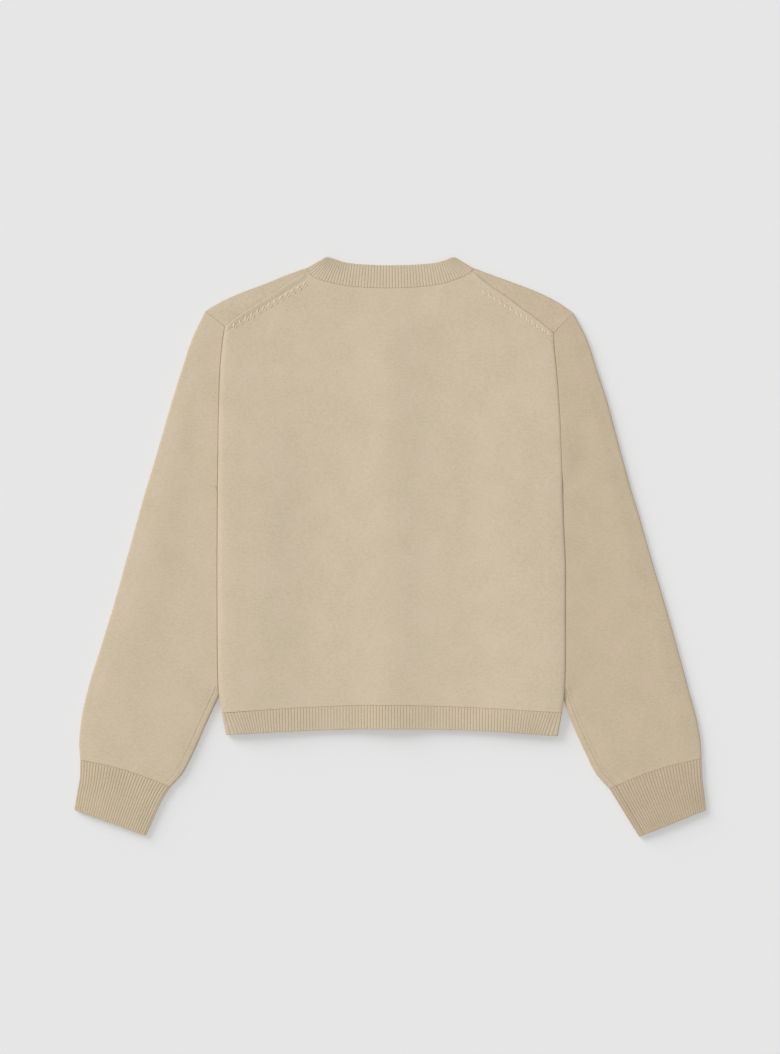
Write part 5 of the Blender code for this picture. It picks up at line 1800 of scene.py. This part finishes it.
@dataclass
class LinkedSeam:
    """A row of small slanted loops that join two pieces."""

    name: str
    path: Array                # n x 3 points on the cloth's face, mm
    pitch: float = 2.6
    length: float = 2.3
    radius: float = 0.42
    slant: float = 32.0
    sides: int = 6

    def build(self, yarn: bpy.types.Material, slot: str) -> bpy.types.Object:
        """Make the seam's loops as one piece.

        Args:
            yarn: the sewing yarn's material.
            slot: not used.

        Returns:
            The seam.
        """
        along = lengths_along(self.path)
        count = int(along[-1] / self.pitch)
        mesh = bmesh.new()
        for index in range(count):
            here = (index + 0.5) * along[-1] / count
            middle, ahead = (np.array([np.interp(s, along, column) for column in self.path.T])
                             for s in (here, here + 0.3))
            self.loop(mesh, middle, unit(ahead - middle))
        for face in mesh.faces:
            face.smooth = True
        piece = finish_object(self.name, mesh, yarn)
        return piece

    def loop(self, mesh: bmesh.types.BMesh, middle: Array, along: Array) -> None:
        """Add one slanted loop, a stretched ball.

        Args:
            mesh: the seam's mesh.
            middle: the loop's middle, mm.
            along: the seam's direction there.
        """
        turn = Vector(along).to_track_quat("X", "Z").to_matrix().to_4x4()
        size = Matrix.Diagonal((self.length / 2 * MM, self.radius * MM, self.radius * MM, 1.0))
        bmesh.ops.create_uvsphere(
            mesh, u_segments=self.sides, v_segments=5, radius=1.0,
            matrix=Matrix.Translation(Vector(middle) * MM) @ turn
            @ Matrix.Rotation(math.radians(self.slant), 4, "Z") @ size)


@dataclass
class Seams:
    """The linking seams that show on the back."""

    form: GarmentForm
    rib_seat: float = 1.62         # height of the loops' middle over the cloth's underside, mm
    shoulder_seat: float = 1.45
    cuff_sunk: float = 0.1
    cuff_width: float = 115.0

    def on_back(self, flat: Array, seat: float) -> Array:
        """Points of a seam that lies on the upper layer of the body."""
        return at_height(flat, self.form.upper(flat[:, 0], flat[:, 1]) + seat)

    def neck(self) -> Array:
        """The seam between the back and the neckband."""
        table = np.array(self.form.neck_back)[:, :2]
        flat = smooth(np.linspace(0, len(table) - 1, 260), np.arange(len(table)), table)
        return self.on_back(flat, self.rib_seat)

    def shoulder(self, side: Side) -> Array:
        """The seam between the back and a yoke strip."""
        flat = self.form.shoulder(side, np.linspace(0.0, 1.0, 120), self.form.shoulder_seam)
        return self.on_back(flat, self.shoulder_seat)

    def hem(self) -> Array:
        """The seam between the back and its hem rib."""
        flat = self.form.hem_line(np.linspace(self.form.hem[0][0] + 2.0,
                                              self.form.hem[-1][0] - 2.0, 260))
        return self.on_back(flat, self.rib_seat)

    def cuff(self, cuff: Cuff) -> Array:
        """The seam between a sleeve and its cuff, on top."""
        outer, inner = cuff.line(0.0, 0.0)
        share = np.linspace(0.03, 0.97, 90)
        flat = mix(outer, inner, share[:, None])
        flat = flat + cuff.bow_step() * np.sin(np.pi * share)[:, None]
        near = np.minimum(share, 1.0 - share) * self.cuff_width
        lift = self.form.sleeve_puff / 2 * swell(near / self.form.puff_reach)
        return at_height(flat, self.form.fold_height + lift - self.cuff_sunk)

    def build(self, yarn: bpy.types.Material) -> list[bpy.types.Object]:
        """Make every seam."""
        pieces = [LinkedSeam("neck_seam_yarn", self.neck()).build(yarn, "neckband_rib"),
                  LinkedSeam("hem_seam_yarn", self.hem()).build(yarn, "back_hem_rib")]
        for side in Side:
            path = self.shoulder(side)
            seam = LinkedSeam(f"shoulder_seam_yarn_{side.word}", path,
                              slant=-32.0 * side.value)
            pieces.append(seam.build(yarn, "back_jersey"))
            seam = LinkedSeam(f"cuff_seam_yarn_{side.word}", self.cuff(Cuff(self.form, side)))
            pieces.append(seam.build(yarn, f"cuff_rib_{side.word}"))
        return pieces


class Surface:
    """A finished piece's upper face, which small pieces are set on."""

    def __init__(self, piece: bpy.types.Object) -> None:
        """Index the piece's faces."""
        mesh = piece.data
        self.tree = BVHTree.FromPolygons([vertex.co for vertex in mesh.vertices],
                                         [face.vertices for face in mesh.polygons])

    def height(self, x: float, y: float) -> float:
        """The face's height in mm at a place in mm."""
        hit = self.tree.ray_cast(Vector((x, y, 100.0)) * MM, Vector((0.0, 0.0, -1.0)))[0]
        return hit.z / MM


@dataclass
class FashioningMarks:
    """Pairs of crossed stitches beside the shoulder seams, where the back was narrowed."""

    cloth: Surface
    # first x, y and last x, y of each side's row
    rows: tuple = ((-104.5, 320.5, -190.0, 270.2), (114.5, 310.4, 192.9, 260.5))
    count: int = 13
    length: float = 6.2
    radius: float = 1.45
    height: float = 1.65
    sunk: float = 0.3          # how far a mark's middle lies under the cloth's face
    second: tuple = (2.3, -1.9, 0.85, -15.0)  # a pair's smaller stitch: x, y, size and turn
    lean: tuple = (58.0, 84.0)     # degrees from the x axis, by the neck and by the armhole

    def build(self, finish: bpy.types.Material) -> list[bpy.types.Object]:
        """Make the marks of both sides.

        Args:
            finish: the marks' yarn, lighter than the jersey as painted highlight.

        Returns:
            One piece for each side.
        """
        pieces = []
        for side, row in zip(Side, self.rows):
            mesh = bmesh.new()
            for share in np.linspace(0.0, 1.0, self.count):
                x, y = mix(row[0], row[2], share), mix(row[1], row[3], share)
                lean = mix(*self.lean, share) * -side.value
                for across, up, size, turn in ((0.0, 0.0, 1.0, 0.0), self.second):
                    self.stitch(mesh, (x + across, y + up), lean - turn * side.value, size)
            for face in mesh.faces:
                face.smooth = True
            piece = finish_object(f"fashioning_marks_{side.word}", mesh, finish)
            pieces.append(piece)
        return pieces

    def stitch(self, mesh: bmesh.types.BMesh, place: tuple, lean: float, size: float) -> None:
        """Add one raised stitch, sunk in the cloth a little past its middle.

        Args:
            mesh: the marks' mesh.
            place: the stitch's x and y, mm.
            lean: its turn from the x axis, degrees.
            size: its size, 1 for the first of a pair.
        """
        middle = Vector((*place, self.cloth.height(*place) - self.sunk)) * MM
        shape = Vector((self.length / 2, self.radius, self.height)) * size * MM
        bmesh.ops.create_uvsphere(
            mesh, u_segments=14, v_segments=9, radius=1.0,
            matrix=Matrix.Translation(middle) @ Matrix.Rotation(math.radians(lean), 4, "Z")
            @ Matrix.Diagonal((*shape, 1.0)))


# ---------------------------------------------------------------- the studio


@dataclass(frozen=True)
class Studio:
    """A pale floor, soft keys from the upper left, and a camera straight above.

    The cloth and the floor have a key and a fill each, so that the floor stays as pale and its
    shadows as soft as in the photo.
    """

    floor: bpy.types.Object
    view_width: float = 0.9504     # metres across the picture at the floor
    picture: tuple = (780, 1054)
    centre_y: float = 0.0244
    lens: float = 85.0
    key_spread: float = 34.0       # degrees
    cloth_key: tuple = (-0.68, 0.28, 0.75)
    floor_key: tuple = (-0.79, 0.7, 0.37)
    key_share: float = 0.4         # of the light on level cloth
    fill_share: float = 0.18       # a fill without shadows, as knit lets light through its gaps
    floor_share: float = 0.23      # what the low key adds on the floor
    floor_fill: float = 0.25       # and its fill

    def build(self) -> None:
        """Add the lights and the camera, once every piece is there."""
        self.lights(self.floor)
        self.camera()

    @staticmethod
    def lay_floor() -> bpy.types.Object:
        """Lay the paper just under the garment."""
        mesh = bmesh.new()
        bmesh.ops.create_grid(mesh, x_segments=2, y_segments=2, size=12.0)
        bmesh.ops.translate(mesh, verts=mesh.verts, vec=(0.0, 0.0, -0.0001))
        data = bpy.data.meshes.new("paper_floor")
        mesh.to_mesh(data)
        mesh.free()
        data.materials.append(PaperFinish().material())
        floor = bpy.data.objects.new("paper_floor", data)
        bpy.context.scene.collection.objects.link(floor)
        return floor

    def lights(self, floor: bpy.types.Object) -> None:
        """Add the fill of the surroundings, and a key for the cloth and one for the floor."""
        cloth = [item for item in bpy.data.objects if item.type == "MESH" and item != floor]
        self.sun("key_on_cloth", self.cloth_key, self.key_share, cloth)
        self.sun("key_on_floor", self.floor_key, self.floor_share, [floor])
        above = (0.0, 0.0, 1.0)
        self.sun("fill_on_cloth", above, self.fill_share, cloth, shadow=False)
        self.sun("fill_on_floor", above, self.floor_fill, [floor], shadow=False)
        world = bpy.data.worlds.new("studio")
        world.use_nodes = True
        back = world.node_tree.nodes["Background"]
        back.inputs["Color"].default_value = (1.0, 1.0, 1.0, 1.0)
        back.inputs["Strength"].default_value = 1.0 - self.key_share - self.fill_share
        bpy.context.scene.world = world
        bpy.context.scene.view_settings.view_transform = "Standard"

    def sun(self, name: str, toward: tuple, share: float, lit: list[bpy.types.Object],
            shadow: bool = True) -> None:
        """Add a soft light that lights only some of the pieces.

        Args:
            name: the light's name.
            toward: direction from the garment to the light.
            share: how much it adds on a level surface.
            lit: the pieces that it lights.
            shadow: whether they shade each other from it.
        """
        light = bpy.data.lights.new(name, "SUN")
        aim = Vector(toward).normalized()
        light.energy = share * math.pi / aim.z
        light.angle = math.radians(self.key_spread)
        light.use_shadow = shadow
        lamp = bpy.data.objects.new(name, light)
        lamp.rotation_mode = "QUATERNION"
        lamp.rotation_quaternion = aim.to_track_quat("Z", "Y")
        bpy.context.scene.collection.objects.link(lamp)
        group = bpy.data.collections.new(name)
        for piece in lit:
            group.objects.link(piece)
        lamp.light_linking.receiver_collection = group

    def camera(self) -> None:
        """Place the camera straight above the picture's centre."""
        data = bpy.data.cameras.new("camera")
        data.lens = self.lens
        data.sensor_width = 36.0
        tall = self.view_width * self.picture[1] / self.picture[0]
        camera = bpy.data.objects.new("camera", data)
        camera.location = (0.0, self.centre_y, tall * self.lens / 36.0 + 0.005)
        bpy.context.scene.collection.objects.link(camera)
        bpy.context.scene.camera = camera


def report(piece: bpy.types.Object) -> bpy.types.Object:
    """Log a piece with its number of faces."""
    LOG.info("%s: %d faces", piece.name, len(piece.data.polygons))
    return piece


def jersey(part: str, colour: str, spread: float = 0.10) -> bpy.types.Material:
    """Cotton jersey knit for one part."""
    return KnitFinish(f"cotton_jersey_{part}", colour, spread=spread).material()


# Its last number sets the painted shade between the ribs.
def rib(part: str, colour: str, valley: float = 0.14) -> bpy.types.Material:
    """Cotton rib knit for one part, its stitches as wide as a rib."""
    return KnitFinish(f"cotton_rib_{part}", colour, wale=RIB_PITCH, course=1.6,
                      relief=0.3, valley=valley).material()


# How deep the underarm seam shows on each cuff, and up and down each sleeve.
SEAM_RELIEF = {Side.LEFT: (0.15, 0.4, 0.15), Side.RIGHT: (0.75, 1.1, 1.25)}


def main() -> None:
    """Build every piece, the studio and the camera."""
    logging.basicConfig(level=logging.INFO, format="%(name)s: %(message)s")
    form = GarmentForm()
    yarn = YarnFinish().material()
    # The marks' tones are lighter than the back's jersey that they are knit from: painted highlight
    # on the raised stitches.
    raised = YarnFinish("cotton_jersey_marks", "#E0D1B9", "#D2C3AB").material()
    back = report(BackPanel(form).build(jersey("back", "#D3C3AA")))
    hem_finish = rib("hem", "#D0C0A6")
    report(HemRib(form, HemPart.BACK).build(hem_finish))
    report(Neckband(form).build(rib("neck", "#D2C2A9")))
    # The right side's front, sleeve and cuff tones are darker than the left's, and the cuffs darker
    # than the sleeves: painted shade, as the light falls from the upper left.
    tones = {Side.LEFT: ("#CFBFA6", "#D1C1A7", "#CDBDA2"),
             Side.RIGHT: ("#CEBDA3", "#CCBCA1", "#C6B59B")}
    for side, (front_tone, sleeve_tone, cuff_tone) in tones.items():
        report(Front(form, side).build(jersey(f"front_{side.word}", front_tone, 0.06)))
        part = HemPart.FRONT_LEFT if side is Side.LEFT else HemPart.FRONT_RIGHT
        report(HemRib(form, part, ribs=52, flat=(0.191, 0.0285),
                      slot=f"front_hem_rib_{side.word}").build(hem_finish))
        cuff_seam, sleeve_seam, low_seam = SEAM_RELIEF[side]
        cuff = Cuff(form, side, seam_relief=cuff_seam)
        report(cuff.build(rib(f"cuff_{side.word}", cuff_tone, 0.11)))
        sleeve = Sleeve(form, side, seam_relief=sleeve_seam, seam_relief_low=low_seam)
        report(sleeve.build(cuff, jersey(f"sleeve_{side.word}", sleeve_tone)))
    bands = rib("bands", "#D0C0A6")
    report(FrontBand(form, "buttonhole_band", "buttonhole_band_rib").build(bands))
    report(FrontBand(form, "button_band", "button_band_rib", layers_below=1).build(bands))
    Buttons(form).dress(ButtonFinish().material(), yarn)
    for piece in (Seams(form).build(yarn)
                  + FashioningMarks(Surface(back)).build(raised)):
        report(piece)
    Studio(Studio.lay_floor()).build()


if __name__ == "__main__":
    main()
